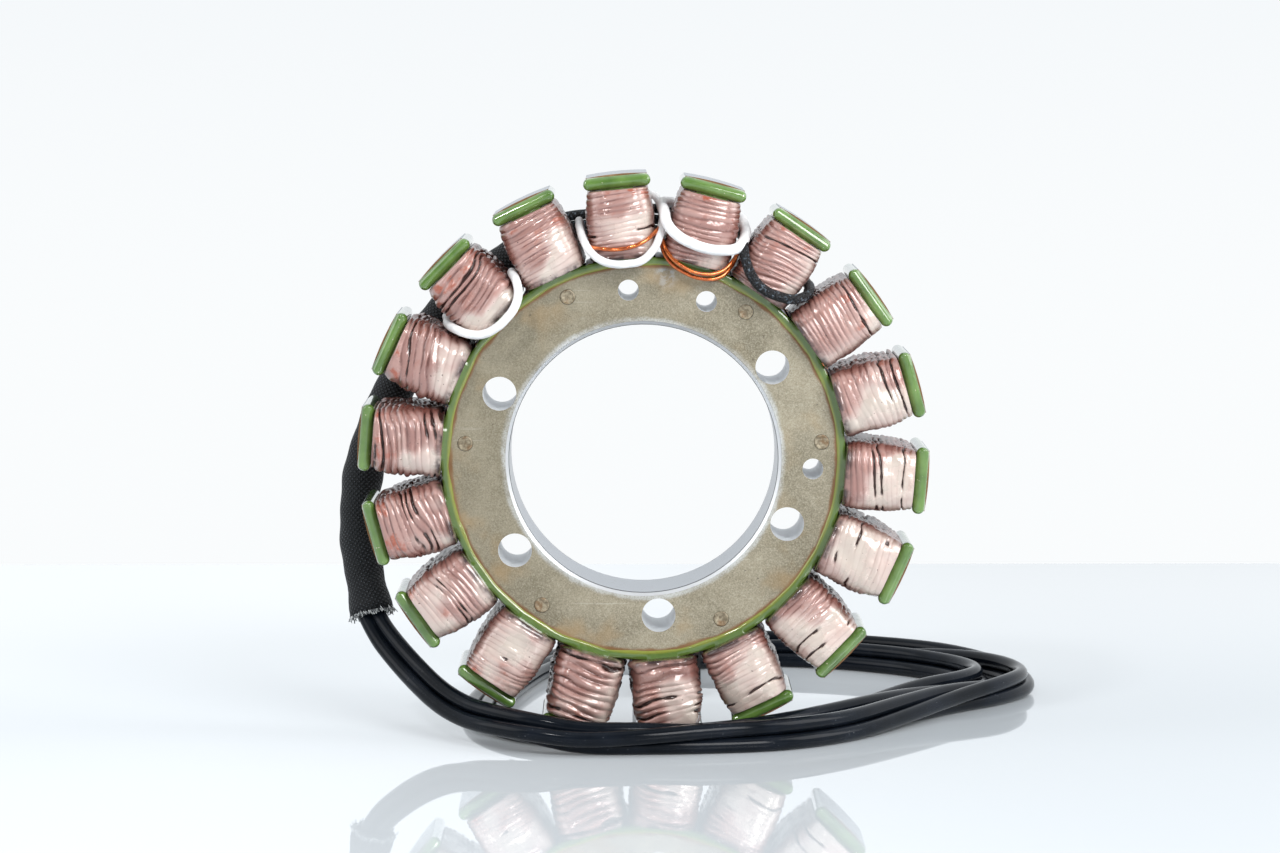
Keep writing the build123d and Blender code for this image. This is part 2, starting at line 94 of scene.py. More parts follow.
class CoilSettings(bpy.types.PropertyGroup):
    """Sizes and colours of the coils."""

    turns: IntProperty(
        name="Turns", description="Turns in the outer layer of a coil", min=4, max=30, default=12)
    half_width: FloatProperty(
        name="Half width", description="Half the width of a coil across its pole",
        subtype="DISTANCE", unit="LENGTH", default=7.4 * MM)
    unevenness: FloatProperty(
        name="Unevenness", description="How far a turn strays from its place",
        subtype="DISTANCE", unit="LENGTH", default=0.55 * MM)
    copper_colour: FloatVectorProperty(
        name="Copper colour", description="Enamelled copper of the palest turns",
        **COLOUR, default=(0.46, 0.265, 0.23))
    # Painted highlight: the glaze colour is laid most where the resin grows, to the lower right of each coil.
    glaze_and_highlight_colour: FloatVectorProperty(
        name="Glaze and highlight colour", description="Milky places in the resin",
        **COLOUR, default=(0.64, 0.50, 0.45))
    resin_and_highlight_side: FloatVectorProperty(
        name="Resin and highlight side", description="How fast the resin grows to the right and upwards, per metre",
        size=2, default=(55.0, -80.0))


class HarnessSettings(bpy.types.PropertyGroup):
    """Sizes and colours of the sleeve, the output wires and the connector."""

    wire_diameter: FloatProperty(
        name="Wire diameter", description="Outside diameter of an output wire",
        subtype="DISTANCE", unit="LENGTH", default=2 * WIRE_RADIUS * MM)
    wire_colour: FloatVectorProperty(
        name="Wire colour", description="Rubber of the output wires where it is palest",
        **COLOUR, default=(0.008, 0.011, 0.017))
    sleeve_colour: FloatVectorProperty(
        name="Sleeve colour", description="Woven glass sleeve",
        **COLOUR, default=(0.003, 0.004, 0.005))
    connector_colour: FloatVectorProperty(
        name="Connector colour", description="Moulded housing of the connector where it is palest",
        **COLOUR, default=(0.032, 0.034, 0.037))


class StageSettings(bpy.types.PropertyGroup):
    """Light and floor."""

    floor_colour: FloatVectorProperty(
        name="Floor colour", description="Polished white table where it is palest",
        **COLOUR, default=(0.66, 0.70, 0.735))
    floor_glow: FloatProperty(
        name="Floor glow", description="Extra white of the table where it is seen", min=0.0, default=0.06)
    key_power: FloatProperty(
        name="Key power", description="Power of the large lamp in front", unit="POWER", default=13.5)
    side_power: FloatProperty(
        name="Side power", description="Power of each lamp at the sides", unit="POWER", default=4.5)
    sky_level: FloatProperty(
        name="Surround level", description="Level of the white surround as a light", min=0.0, default=0.72)


class Value:
    """A value in a node tree. A sum with it adds the nodes that work the sum out."""

    def __init__(self, wiring, socket):
        self.wiring = wiring
        self.socket = socket

    def __add__(self, other):
        return self.wiring.math("ADD", self, other)

    def __sub__(self, other):
        return self.wiring.math("SUBTRACT", self, other)

    def __rsub__(self, other):
        return self.wiring.math("SUBTRACT", other, self)

    def __mul__(self, other):
        return self.wiring.math("MULTIPLY", self, other)

    def __truediv__(self, other):
        return self.wiring.math("DIVIDE", self, other)

    def __pow__(self, other):
        return self.wiring.math("POWER", self, other)

    def __abs__(self):
        return self.wiring.math("ABSOLUTE", self)

    def ramp(self, low, high, start=0.0, end=1.0, kind="SMOOTHSTEP"):
        """A value that goes from start to end while this one goes from low to high."""
        sockets = {"Value": self, "From Min": low, "From Max": high, "To Min": start, "To Max": end}
        return self.wiring.value("ShaderNodeMapRange", sockets, interpolation_type=kind)


def opaque(colour):
    """Three numbers as a full colour, or a colour that comes from a node as it is."""
    return colour if isinstance(colour, Value) else (*colour, 1.0)


def darker(colour, *shares):
    """A colour with each of its three parts brought down to a share."""
    return tuple(part * share for part, share in zip(colour, shares))


class NodeTree:
    """A node tree that is being wired up."""

    def __init__(self, tree):
        self.tree = tree

    def link(self, value, socket):
        """Gives a socket a constant, or links a value to it."""
        if isinstance(value, Value):
            self.tree.links.new(value.socket, socket)
        else:
            socket.default_value = value

    def add(self, kind, sockets=None, **settings):
        """A new node, with its settings and with its inputs set or linked by name or number."""
        node = self.tree.nodes.new(kind)
        for key, value in settings.items():
            setattr(node, key, value)
        for key, value in (sockets or {}).items():
            self.link(value, node.inputs[key])
        return node

    def values(self, kind, outputs, sockets=None, **settings):
        """What some outputs of a new node give."""
        node = self.add(kind, sockets, **settings)
        return [Value(self, node.outputs[output]) for output in outputs]

    def value(self, kind, sockets=None, output=0, **settings):
        """What one output of a new node gives."""
        return self.values(kind, [output], sockets, **settings)[0]

    def math(self, operation, *values):
        """What a Math node makes of one value or more."""
        return self.value("ShaderNodeMath", dict(enumerate(values)), operation=operation)

    def vector_math(self, operation, *values):
        """The vector that a Vector Math node makes of one vector or more."""
        return self.value("ShaderNodeVectorMath", dict(enumerate(values)), operation=operation)

    def measure(self, operation, *values):
        """The number that a Vector Math node makes of one vector or more."""
        return self.value("ShaderNodeVectorMath", dict(enumerate(values)), "Value", operation=operation)

    def scaled(self, vector, factor):
        """A vector times a number."""
        return self.value("ShaderNodeVectorMath", {0: vector, "Scale": factor}, operation="SCALE")

    def vector(self, x=0.0, y=0.0, z=0.0):
        """A vector from three numbers."""
        return self.value("ShaderNodeCombineXYZ", {0: x, 1: y, 2: z})

    def parts(self, vector, letters="XYZ"):
        """The numbers in a vector that some letters stand for."""
        return self.values("ShaderNodeSeparateXYZ", letters, {0: vector})

    def seeded_noise(self, place, seed, scale, detail):
        """Noise from 0 to 1 at a place, with its scale per metre and other for another seed."""
        sockets = {"Vector": place, "W": seed, "Scale": scale, "Detail": detail}
        return self.value("ShaderNodeTexNoise", sockets, "Fac", noise_dimensions="4D")

    def mix(self, factor, a, b):
        """A colour between two colours."""
        sockets = {"Factor": factor, 6: opaque(a), 7: opaque(b)}
        return self.value("ShaderNodeMix", sockets, 2, data_type="RGBA")


class Finish(NodeTree):
    """A material round a Principled shader."""

    def __init__(self, name, colour, **constants):
        self.material = bpy.data.materials.new(name)
        self.material.use_nodes = True
        super().__init__(self.material.node_tree)
        self.shader = self.tree.nodes["Principled BSDF"]
        self.colour = tuple(colour)
        self.set("Base Color", opaque(self.colour))
        for key, value in constants.items():
            self.set(key.replace("_", " ").title().replace("Ior", "IOR"), value)
        self.space = self.value("ShaderNodeTexCoord", output="Object")

    def set(self, socket, value):
        """Sets or links one of the shader's sockets."""
        self.link(value, self.shader.inputs[socket])

    def noise(self, scale, detail=3.0, roughness=0.5, distortion=0.0, vector=None):
        """Noise from 0 to 1 in the object's own space, with its scale per metre."""
        sockets = {"Vector": vector or self.space, "Scale": scale, "Detail": detail,
                   "Roughness": roughness, "Distortion": distortion}
        return self.value("ShaderNodeTexNoise", sockets, "Fac")

    def stretched(self, vector, scale=(1.0, 1.0, 1.0), turn=(0.0, 0.0, 0.0)):
        """A place that is turned, and scaled by its own amount along each axis."""
        return self.value("ShaderNodeMapping", {"Vector": vector, "Rotation": turn, "Scale": scale})

    def layers(self, colour, *coats):
        """A colour with others laid over it, each as far as its mask goes."""
        for mask, coat in coats:
            colour = self.mix(mask, colour, coat)
        return colour

    def attribute(self, name):
        """A value that the mesh carries."""
        return self.value("ShaderNodeAttribute", output="Fac", attribute_name=name)

    def radius(self):
        """The distance from the bore's axis, and the place along it."""
        x, y, z = self.parts(self.space)
        return self.math("SQRT", x * x + z * z), y

    def bump(self, height, strength, distance, socket="Normal"):
        """Roughens the surface, or the coat on it, by a height."""
        sockets = {"Height": height, "Strength": strength, "Distance": distance}
        self.set(socket, self.value("ShaderNodeBump", sockets))


def new_tree(name, **labels):
    """An empty Geometry Nodes tree with inputs named under their kinds, and what these inputs give."""
    tree = bpy.data.node_groups.new(name, "GeometryNodeTree")
    for kind, names in {"Geometry": ["Geometry"], **labels, "Material": ["Material"]}.items():
        for label in names:
            tree.interface.new_socket(name=label, in_out="INPUT", socket_type="NodeSocket" + kind)
    tree.interface.new_socket(name="Geometry", in_out="OUTPUT", socket_type="NodeSocketGeometry")
    wiring = NodeTree(tree)
    inputs = wiring.add("NodeGroupInput").outputs
    return wiring, {socket.name: Value(wiring, socket) for socket in inputs}


def finish_tree(wiring, geometry, given):
    """Ends a tree in Realize Instances and Set Material."""
    real = wiring.value("GeometryNodeRealizeInstances", {0: geometry})
    painted = wiring.value("GeometryNodeSetMaterial", {"Geometry": real, "Material": given["Material"]})
    wiring.add("NodeGroupOutput", {0: painted})
    return wiring.tree


def grown(source, tree, values, name):
    """A plain mesh object made by a Geometry Nodes tree from another object, which goes away."""
    modifier = source.modifiers.new(tree.name, "NODES")
    modifier.node_group = tree
    for item in tree.interface.items_tree:
        if item.in_out == "INPUT" and item.name in values:
            modifier[item.identifier] = values[item.name]
    graph = bpy.context.evaluated_depsgraph_get()
    mesh = bpy.data.meshes.new_from_object(source.evaluated_get(graph), depsgraph=graph)
    mesh.name = name
    source.modifiers.remove(modifier)
    bpy.data.objects.remove(source)
    return linked(name, mesh)


def linked(name, data):
    """A new object in the scene."""
    obj = bpy.data.objects.new(name, data)
    bpy.context.scene.collection.objects.link(obj)
    return obj


def mesh_object(name, points, faces=(), material=None, smooth=True):
    """A mesh object from points in metres and faces."""
    mesh = bpy.data.meshes.new(name)
    mesh.from_pydata([tuple(p) for p in points], [], faces)
    mesh.update()
    for polygon in mesh.polygons:
        polygon.use_smooth = smooth
    if material:
        mesh.materials.append(material)
    return linked(name, mesh)


def band_faces(rows, sides):
    """The faces between rows of points that each close round."""
    faces = []
    for i in range(rows - 1):
        for k in range(sides):
            a, b = i * sides + k, i * sides + (k + 1) % sides
            faces.append((a, b, b + sides, a + sides))
    return faces


def end_faces(rows, sides):
    """The faces that close the first row and the last."""
    last = (rows - 1) * sides
    return [tuple(range(sides))[::-1], tuple(range(last, last + sides))]


def outward(obj):
    """Merges doubles and turns all faces outwards."""
    shape = bmesh.new()
    shape.from_mesh(obj.data)
    bmesh.ops.remove_doubles(shape, verts=shape.verts, dist=1e-7)
    bmesh.ops.recalc_face_normals(shape, faces=shape.faces)
    shape.to_mesh(obj.data)
    shape.free()
    return obj


def joined(name, objects):
    """One object from several, with their materials."""
    first = objects[0]
    with bpy.context.temp_override(active_object=first, selected_editable_objects=objects):
        bpy.ops.object.join()
    first.name = name
    first.data.name = name
    return first


def put_on(obj, slot, *nodes):
    """Lets a finished piece ride on the part and stand for its nodes. The slot is not used."""
    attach(obj, BODY)
    if nodes:
        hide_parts(*nodes)


def dress_node(node, material):
    """Gives a node of the part its finish."""
    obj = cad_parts[node]
    obj.data.materials.clear()
    obj.data.materials.append(material)


def pole_turn(number):
    """How far a numbered pole is turned clockwise from the top."""
    return math.radians(90 - FIRST_POLE_ANGLE + (number - 1) * POLE_PITCH)


def point_at(number, across, depth, level):
    """A point beside a pole's coil in shares of the sizes round it, as in the part's source."""
    radius = COIL_INNER + level * (COIL_OUTER - COIL_INNER)
    along = across * radius * math.tan(math.radians(POLE_PITCH / 2))
    place = Vector((along, depth * COIL_HALF_LENGTH, radius))
    return Matrix.Rotation(pole_turn(number), 3, "Y") @ place * MM


def at_angle(angle, depth, radius):
    """A point at an angle round the axis, from sizes in millimetres."""
    turn = math.radians(angle)
    return Vector((radius * math.cos(turn), depth, radius * math.sin(turn))) * MM


def smooth_line(name, points, closed=False):
    """A curve that passes smoothly through points given in metres."""
    curve = bpy.data.curves.new(name, "CURVE")
    curve.dimensions = "3D"
    spline = curve.splines.new("BEZIER")
    spline.bezier_points.add(len(points) - 1)
    for knot, point in zip(spline.bezier_points, points):
        knot.co = point
        knot.handle_left_type = "AUTO"
        knot.handle_right_type = "AUTO"
    spline.use_cyclic_u = closed
    spline.resolution_u = 10
    return linked(name, curve)


def nurbs_curve(name, points):
    """An open NURBS curve of order 3 from its control points in metres."""
    curve = bpy.data.curves.new(name, "CURVE")
    curve.dimensions = "3D"
    spline = curve.splines.new("NURBS")
    spline.points.add(len(points) - 1)
    for knot, point in zip(spline.points, points):
        knot.co = (*point, 1.0)
    spline.order_u = 3
    spline.use_endpoint_u = True
    spline.resolution_u = 12
    return linked(name, curve)


def line_of(points):
    """The points that a NURBS curve passes through, read from the curve itself."""
    guide = nurbs_curve("guide", points)
    graph = bpy.context.evaluated_depsgraph_get()
    mesh = bpy.data.meshes.new_from_object(guide.evaluated_get(graph), depsgraph=graph)
    line = [v.co.copy() for v in mesh.vertices]
    bpy.data.meshes.remove(mesh)
    bpy.data.objects.remove(guide)
    return line


def tube_along(name, line, radius_at, sides, material):
    """A tube along a line, with a UV map in metres along and round it, and with closed ends."""
    side = (line[1] - line[0]).normalized().orthogonal().normalized()
    points, lengths = [], [0.0]
    for i, place in enumerate(line):
        if i:
            lengths.append(lengths[-1] + (place - line[i - 1]).length)
        onward = (line[min(i + 1, len(line) - 1)] - line[max(i - 1, 0)]).normalized()
        side = (side - onward * side.dot(onward)).normalized()
        other = onward.cross(side)
        for k in range(sides):
            turn = 2 * math.pi * k / sides
            outwards = side * math.cos(turn) + other * math.sin(turn)
            points.append(place + outwards * radius_at(lengths[-1], turn))
    walls = band_faces(len(line), sides)
    obj = mesh_object(name, points, walls + end_faces(len(line), sides), material)
    rim = 2 * math.pi * radius_at(0.0, 0.0)
    layer = obj.data.uv_layers.new(name="UVMap")
    for index in range(len(walls)):
        i, k = divmod(index, sides)
        corners = [(i, k), (i, k + 1), (i + 1, k + 1), (i + 1, k)]
        for loop, (row, column) in zip(obj.data.polygons[index].loop_indices, corners):
            layer.data[loop].uv = (lengths[row], rim * column / sides)
    return obj


def wire_tree():
    """Follows a curve with a round wire whose thickness varies a little."""
    w, given = new_tree("Wire along a line", Float=["Radius", "Variation", "Grain", "Seed"], Int=["Sides"])
    grain = w.seeded_noise(w.value("GeometryNodeInputPosition"), given["Seed"], given["Grain"], 2.0)
    swell = (grain - 0.5) * given["Variation"] + 1.0
    line = w.value("GeometryNodeSetCurveRadius", {"Curve": given["Geometry"], "Radius": swell})
    circle = w.value("GeometryNodeCurvePrimitiveCircle",
                     {"Resolution": given["Sides"], "Radius": given["Radius"]})
    tube = w.value("GeometryNodeCurveToMesh", {"Curve": line, "Profile Curve": circle, "Fill Caps": True})
    return finish_tree(w, w.value("GeometryNodeSetShadeSmooth", {"Geometry": tube}), given)


def wire_piece(name, points, radius, sides, material, closed=False, variation=0.0, grain=300.0, seed=1.0):
    """A piece of wire, tube or lacing through points."""
    tree = bpy.data.node_groups.get("Wire along a line") or wire_tree()
    values = {"Radius": radius * MM, "Variation": variation, "Grain": grain, "Sides": sides, "Seed": seed,
              "Material": material}
    return grown(smooth_line(name, points, closed), tree, values, name)


WORN_PATCH = (4.6, -11.0, 37.7)
WORN_PATCH_SIZE = 3.0


def face_finish(settings):
    """Olive-grey oxidised faces with scratches and painted shade to the left and top; ground steel in the
    bore, on the chamfer and on the shoes, with painted highlights on the chamfer and in the holes.
    """
    f = Finish("laminated_steel", settings.face_colour)
    radius, depth = f.radius()
    fine = f.noise(3600.0, 4.0, 0.7)
    broad = f.noise(55.0, 6.0, 0.65)
    scratches = f.noise(1.0, 2.0, vector=f.stretched(f.space, (60.0, 60.0, 2600.0), (0.0, 0.9, 0.0)))
    across, up = f.parts(f.space, "XZ")
    to_patch = f.measure("DISTANCE", f.space, tuple(c * MM for c in WORN_PATCH))
    patch = to_patch.ramp(WORN_PATCH_SIZE * MM, 0.35 * WORN_PATCH_SIZE * MM)
    edge = radius + (f.noise(240.0, 4.0) - 0.5) * (1.4 * MM)
    warm = f.noise(90.0, 3.0).ramp(0.52, 0.68)
    worn = edge.ramp((BORE_EDGE + 1.2) * MM, (BORE_EDGE + 0.1) * MM) * fine.ramp(0.3, 0.6, 0.35, 0.9)
    colour = f.layers(
        f.mix(broad.ramp(0.3, 0.72), darker(f.colour, 0.5, 0.49, 0.441), f.colour),
        (f.noise(260.0, 6.0, 0.65, 0.6).ramp(0.55, 0.75, 0.0, 0.5), (0.22, 0.18, 0.11)),
        (fine.ramp(0.42, 0.74, 0.0, 0.55), (0.56, 0.52, 0.42)),
        (fine.ramp(0.46, 0.28, 0.0, 0.55), (0.12, 0.10, 0.065)),
        (scratches.ramp(0.66, 0.72) * broad.ramp(0.48, 0.58) * 0.4, (0.55, 0.52, 0.45)),
        # Painted shade: the faces grow darker towards the left and the top.
        ((up * -0.3 + across).ramp(15.0 * MM, -42.0 * MM, 0.0, 0.36), (0.13, 0.11, 0.065)),
        (patch * f.noise(600.0, 5.0, 0.7).ramp(0.44, 0.56, 0.1, 0.85), (0.46, 0.52, 0.56)),
        (edge.ramp(39.2 * MM, 39.9 * MM) * 0.9, (0.18, 0.075, 0.015)),
        (warm * radius.ramp(32.0 * MM, 39.0 * MM, 0.2, 0.6), (0.34, 0.23, 0.11)),
        (f.noise(750.0, 3.0, 0.6).ramp(0.71, 0.74, 0.0, 0.8), (0.10, 0.08, 0.055)),
        (worn * broad.ramp(0.35, 0.6, 0.35, 1.0), (0.56, 0.58, 0.58)))

    on_face = abs(depth).ramp(10.90 * MM, 10.97 * MM, kind="LINEAR")
    stack = f.value("ShaderNodeTexWave", {"Vector": f.space, "Scale": 320.0, "Distortion": 0.6}, "Fac",
                    bands_direction="Y")
    in_hole = radius.ramp(29.5 * MM, 30.0 * MM) * radius.ramp(41.0 * MM, 40.5 * MM)
    near_bore = radius.ramp(29.0 * MM, 28.7 * MM)
    to_chamfer = abs(abs(depth) - (HALF_STACK - 0.92) * MM)
    steel = f.layers(
        f.mix(stack, darker(settings.steel_colour, 0.733, 0.742, 0.754), settings.steel_colour),
        (f.noise(900.0, 4.0).ramp(0.6, 0.75, 0.0, 0.35), (0.30, 0.27, 0.22)),
        # Painted highlight: the walls of the holes are painted near white.
        (in_hole, (0.80, 0.82, 0.84)),
        # Painted highlight: the chamfer round the bore is painted near white.
        (radius.ramp(27.8 * MM, 27.9 * MM) * near_bore, (0.88, 0.89, 0.90)),
        (to_chamfer.ramp(0.30 * MM, 0.12 * MM) * near_bore, (0.05, 0.055, 0.055)))

    f.set("Base Color", f.mix(on_face, steel, colour))
    f.set("Metallic", on_face.ramp(0.0, 1.0, 0.85, 0.15) * in_hole.ramp(0.0, 1.0, 1.0, 0.3))
    f.set("Roughness", on_face.ramp(0.0, 1.0, 0.38, 0.48))
    f.bump(fine * 0.4 + stack * 0.5, 0.25, 0.12 * MM)
    return f.material


def paint_finish(settings):
    """Thick glossy green paint, yellower where it is thin at the edge of the bare ring, with painted glare
    along the outer edge of the caps.
    """
    f = Finish("green_coat", settings.paint_colour, coat_weight=1.0, coat_roughness=0.02)
    radius = f.radius()[0]
    cloud = f.noise(160.0, 4.0)
    chips = f.noise(1500.0, 2.0).ramp(0.73, 0.76) * radius.ramp(55.5 * MM, 56.5 * MM)
    f.set("Base Color", f.layers(
        f.mix(cloud.ramp(0.3, 0.7), darker(f.colour, 0.5, 0.588, 0.436), f.colour),
        (radius.ramp(46.0 * MM, 42.5 * MM) * 0.75, (0.082, 0.140, 0.018)),
        ((radius + cloud * (0.5 * MM)).ramp(41.0 * MM, 40.4 * MM) * 0.8, (0.24, 0.25, 0.03)),
        (chips, (0.62, 0.58, 0.42)),
        # Painted glare: pale patches along the outer edge of the caps.
        (radius.ramp(58.55 * MM, 58.85 * MM) * cloud.ramp(0.42, 0.55) * 0.7, (0.42, 0.50, 0.36))))
    f.set("Roughness", f.noise(900.0, 3.0).ramp(0.3, 0.7, 0.12, 0.26))
    f.bump(f.noise(300.0, 2.0), 0.5, 0.4 * MM)
    return f.material


TOOTH_HALF_WIDTH = 3.25
TOOTH_FOOT = 1.2
TOOTH_END = 56.2
SLOT_FLOOR = 41.7
SLOT_HALF_WIDTH = 7.24
# How far the floor of a slot has got at each of its points: 1 is its middle, 2 the next tooth
SLOT_STEPS = (0.12, 0.35, 0.65, 1.0, 1.35, 1.65, 1.88)
# The rings of the coat on a face: first the radius of each, then how far it lies inside the outline, and for
# each how high it stands above the face
EDGE_RINGS = ((39.95, -0.02), (40.08, 0.22), (40.5, 0.40))
OUTLINE_RINGS = ((0.35, 0.42), (0.0, 0.18))
EDGE_WAVES = 9


def slot_floor(reach):
    """How high the floor of a slot lies at a distance from the middle of its tooth."""
    slant = math.radians(POLE_PITCH / 2)
    return (SLOT_FLOOR - reach * math.sin(slant)) / math.cos(slant)


def coat_outline():
    """The outer outline of the coat on the yoke and the teeth, as (along X, along Z), with rising turn."""
    pitch = math.radians(POLE_PITCH)
    foot = slot_floor(TOOTH_HALF_WIDTH)
    rising = [(-TOOTH_HALF_WIDTH, level) for level in (foot, foot + TOOTH_FOOT, TOOTH_END)]
    local = rising + [(-x, level) for x, level in rising[::-1]]
    for step in SLOT_STEPS:
        reach = TOOTH_HALF_WIDTH + (SLOT_HALF_WIDTH - TOOTH_HALF_WIDTH) * min(step, 2.0 - step)
        level = slot_floor(reach)
        if step > 1.0:
            reach, level = (level * math.sin(pitch) - reach * math.cos(pitch),
                            level * math.cos(pitch) + reach * math.sin(pitch))
        local.append((reach, level))
    outline = []
    for number in range(1, POLE_COUNT + 1):
        turn = pole_turn(number)
        for x, z in local:
            outline.append((x * math.cos(turn) + z * math.sin(turn), z * math.cos(turn) - x * math.sin(turn)))
    return outline


def make_rim_coat(material):
    """The coat over the yoke's rim, the slots' floors and the teeth, with its wandering inner edge."""
    source = random.Random(4)
    waves = [(source.uniform(0.02, 0.09), source.randint(5, 40), source.uniform(0, 6.28))
             for wave in range(EDGE_WAVES)]
    columns = []
    for x, z in coat_outline():
        around, far = math.atan2(z, x), math.hypot(x, z)
        drift = sum(size * math.sin(k * around + shift) for size, k, shift in waves)
        rings = [(radius + drift, rise) for radius, rise in EDGE_RINGS]
        rings += [(far - inset, rise) for inset, rise in OUTLINE_RINGS]
        columns.append([(x * radius / far, HALF_STACK + rise, z * radius / far) for radius, rise in rings])
    front = [[(x * MM, -depth * MM, z * MM) for x, depth, z in row] for row in zip(*columns)]
    rear = [[(x, -y, z) for x, y, z in row] for row in front[::-1]]
    rows = front + rear
    faces = [(a, d, c, b) for a, b, c, d in band_faces(len(rows), len(columns))]
    return outward(mesh_object("rim_coat", [p for row in rows for p in row], faces, material))


CAP_HALF_WIDTH = 6.95
CAP_CORNER = 1.20
CAP_EASE = 0.65
CAP_OUTSIDE = 58.96
CAP_UNDERSIDE = 55.80
CAP_UNDERSIDE_RISE = 0.30
CAP_INLET = 1.5
CAP_STEPS = 12
CAP_LAST_TURN = 88
CAP_CORNER_STEPS = 8


def cap_section(share):
    """The rounded outline of the paint round a pole shoe, shrunk to a share of its height."""
    width = CAP_HALF_WIDTH - (1 - share) * CAP_EASE
    corner = CAP_CORNER * share
    points = []
    for turn_start, side, up in ((0, 1, 1), (90, -1, 1), (180, -1, -1), (270, 1, -1)):
        for k in range(CAP_CORNER_STEPS + 1):
            turn = math.radians(turn_start + 90 * k / CAP_CORNER_STEPS)
            across = side * (width - corner) + corner * math.cos(turn)
            outer = math.sqrt(CAP_OUTSIDE**2 - across**2)
            under = CAP_UNDERSIDE + CAP_UNDERSIDE_RISE * (abs(across) / CAP_HALF_WIDTH) ** 2
            middle, half = (outer + under) / 2, (outer - under) / 2 * share
            points.append((across, middle + up * (half - corner) + corner * math.sin(turn)))
    return points


def make_shoe_coat(material, cap_height):
    """The paint round one upright pole shoe, with a domed cap on each end."""
    front = HALF_STACK * MM
    half = []
    for k in range(CAP_STEPS, -1, -1):
        rise = math.radians(CAP_LAST_TURN * k / CAP_STEPS)
        half.append((-front - cap_height * math.sin(rise), math.cos(rise)))
    half.append((-front + CAP_INLET * MM, 1.0))
    rows = half + [(-depth, share) for depth, share in half[::-1]]
    points = []
    for depth, share in rows:
        points += [(x * MM, depth, z * MM) for x, z in cap_section(share)]
    count = len(points) // len(rows)
    faces = band_faces(len(rows), count) + end_faces(len(rows), count)
    return outward(mesh_object("shoe_coat", points, faces, material))


def ring_tree():
    """Repeats a piece round the bore's axis."""
    w, given = new_tree("Round the axis", Int=["Count"], Float=["First turn", "Pitch"])
    line = w.value("GeometryNodeMeshLine", {"Count": given["Count"], "Offset": (0.0, 0.0, 0.0)})
    turn = w.value("GeometryNodeInputIndex") * given["Pitch"] + given["First turn"]
    copies = w.value("GeometryNodeInstanceOnPoints",
                     {"Points": line, "Instance": given["Geometry"], "Rotation": w.vector(y=turn)})
    return finish_tree(w, copies, given)


def make_coat(settings):
    """The green coat: the rim with its teeth, and the shoes' paint repeated round the axis."""
    paint = paint_finish(settings)
    rim = make_rim_coat(paint)
    shoe = make_shoe_coat(paint, settings.cap_height)
    values = {"Count": POLE_COUNT, "First turn": pole_turn(1), "Pitch": math.radians(POLE_PITCH),
              "Material": paint}
    shoes = grown(shoe, ring_tree(), values, "shoe_coats")
    put_on(joined("green_coat", [rim, shoes]), "coat", "insulation_coat")


RIVET_ANGLES = (5.4, 55.3, 115.0, 175.0, 235.3, 295.8)
RIVET_CIRCLE = 36.9
RIVET_SIDES = 28
# A rivet's head from its middle to its rim: radius, and height above the face
RIVET_HEAD = ((0.0, -0.10), (0.55, -0.085), (0.85, -0.05), (1.05, 0.0), (1.30, 0.035), (1.47, 0.02),
              (1.57, -0.05), (1.60, -0.18), (1.60, -1.0))


def make_rivet():
    """One rivet through the stack at the origin: a shallow dimpled head on each face."""
    rows = [(radius, -HALF_STACK - height) for radius, height in RIVET_HEAD]
    rows += [(radius, -depth) for radius, depth in rows[::-1]]
    points = []
    for radius, depth in rows:
        points += [at_angle(360 * k / RIVET_SIDES, depth, radius) for k in range(RIVET_SIDES)]
    return outward(mesh_object("rivet", points, band_faces(len(rows), RIVET_SIDES)))


def rivet_tree(rivet):
    """Puts a rivet on each of the points, each turned by another amount."""
    w, given = new_tree("Rivets", Int=["Seed"])
    head = w.value("GeometryNodeObjectInfo", {"Object": rivet}, "Geometry")
    spin = w.value("FunctionNodeRandomValue", {"Seed": given["Seed"], 2: 0.0, 3: 6.28}, 1)
    points = w.value("GeometryNodeMeshToPoints", {"Mesh": given["Geometry"]})
    copies = w.value("GeometryNodeInstanceOnPoints",
                     {"Points": points, "Instance": head, "Rotation": w.vector(y=spin)})
    return finish_tree(w, copies, given)


def rivet_finish():
    """Dull steel with a rusty rim."""
    f = Finish("rivet_steel", (0.40, 0.345, 0.245), metallic=0.35)
    grain = f.noise(1700.0, 4.0, 0.65)
    f.set("Base Color", f.layers(
        f.mix(grain.ramp(0.35, 0.7), (0.17, 0.135, 0.085), f.colour),
        (f.noise(500.0, 4.0).ramp(0.52, 0.66, 0.0, 0.6), (0.20, 0.10, 0.035))))
    f.set("Roughness", grain.ramp(0.3, 0.7, 0.32, 0.5))
    f.bump(grain, 0.35, 0.1 * MM)
    return f.material


def make_core(settings):
    """The dressed laminations and the six rivets."""
    dress_node("core_laminations", face_finish(settings))
    rivet = make_rivet()
    seed = mesh_object("rivet_places", [at_angle(angle, 0.0, RIVET_CIRCLE) for angle in RIVET_ANGLES])
    rivets = grown(seed, rivet_tree(rivet), {"Seed": 3, "Material": rivet_finish()}, "rivet_heads")
    bpy.data.objects.remove(rivet)
    for polygon in rivets.data.polygons:
        polygon.use_smooth = True
    put_on(rivets, "rivets", "core_rivets")


COIL_COLUMNS = 120
COIL_ROWS = 112
COIL_OUTLINE_POINTS = 240
# The share of a coil's height that the skin goes on for at each end, where it closes
COIL_END = 0.03
# How far the outline is drawn in to leave room for the wires
COIL_SKIN = 0.45
COIL_SHAPE = {
    "Half length": COIL_HALF_LENGTH - COIL_SKIN, "Inner end": COIL_INNER - 0.4, "Outer end": COIL_OUTER,
    "Corner": 4.2, "Outer taper": 0.85, "Inner rounding": 0.45, "Bulge": 0.35,
}
WIRE_DEPTH = 0.27
DEPTH_PER_TURN_LESS = 0.14
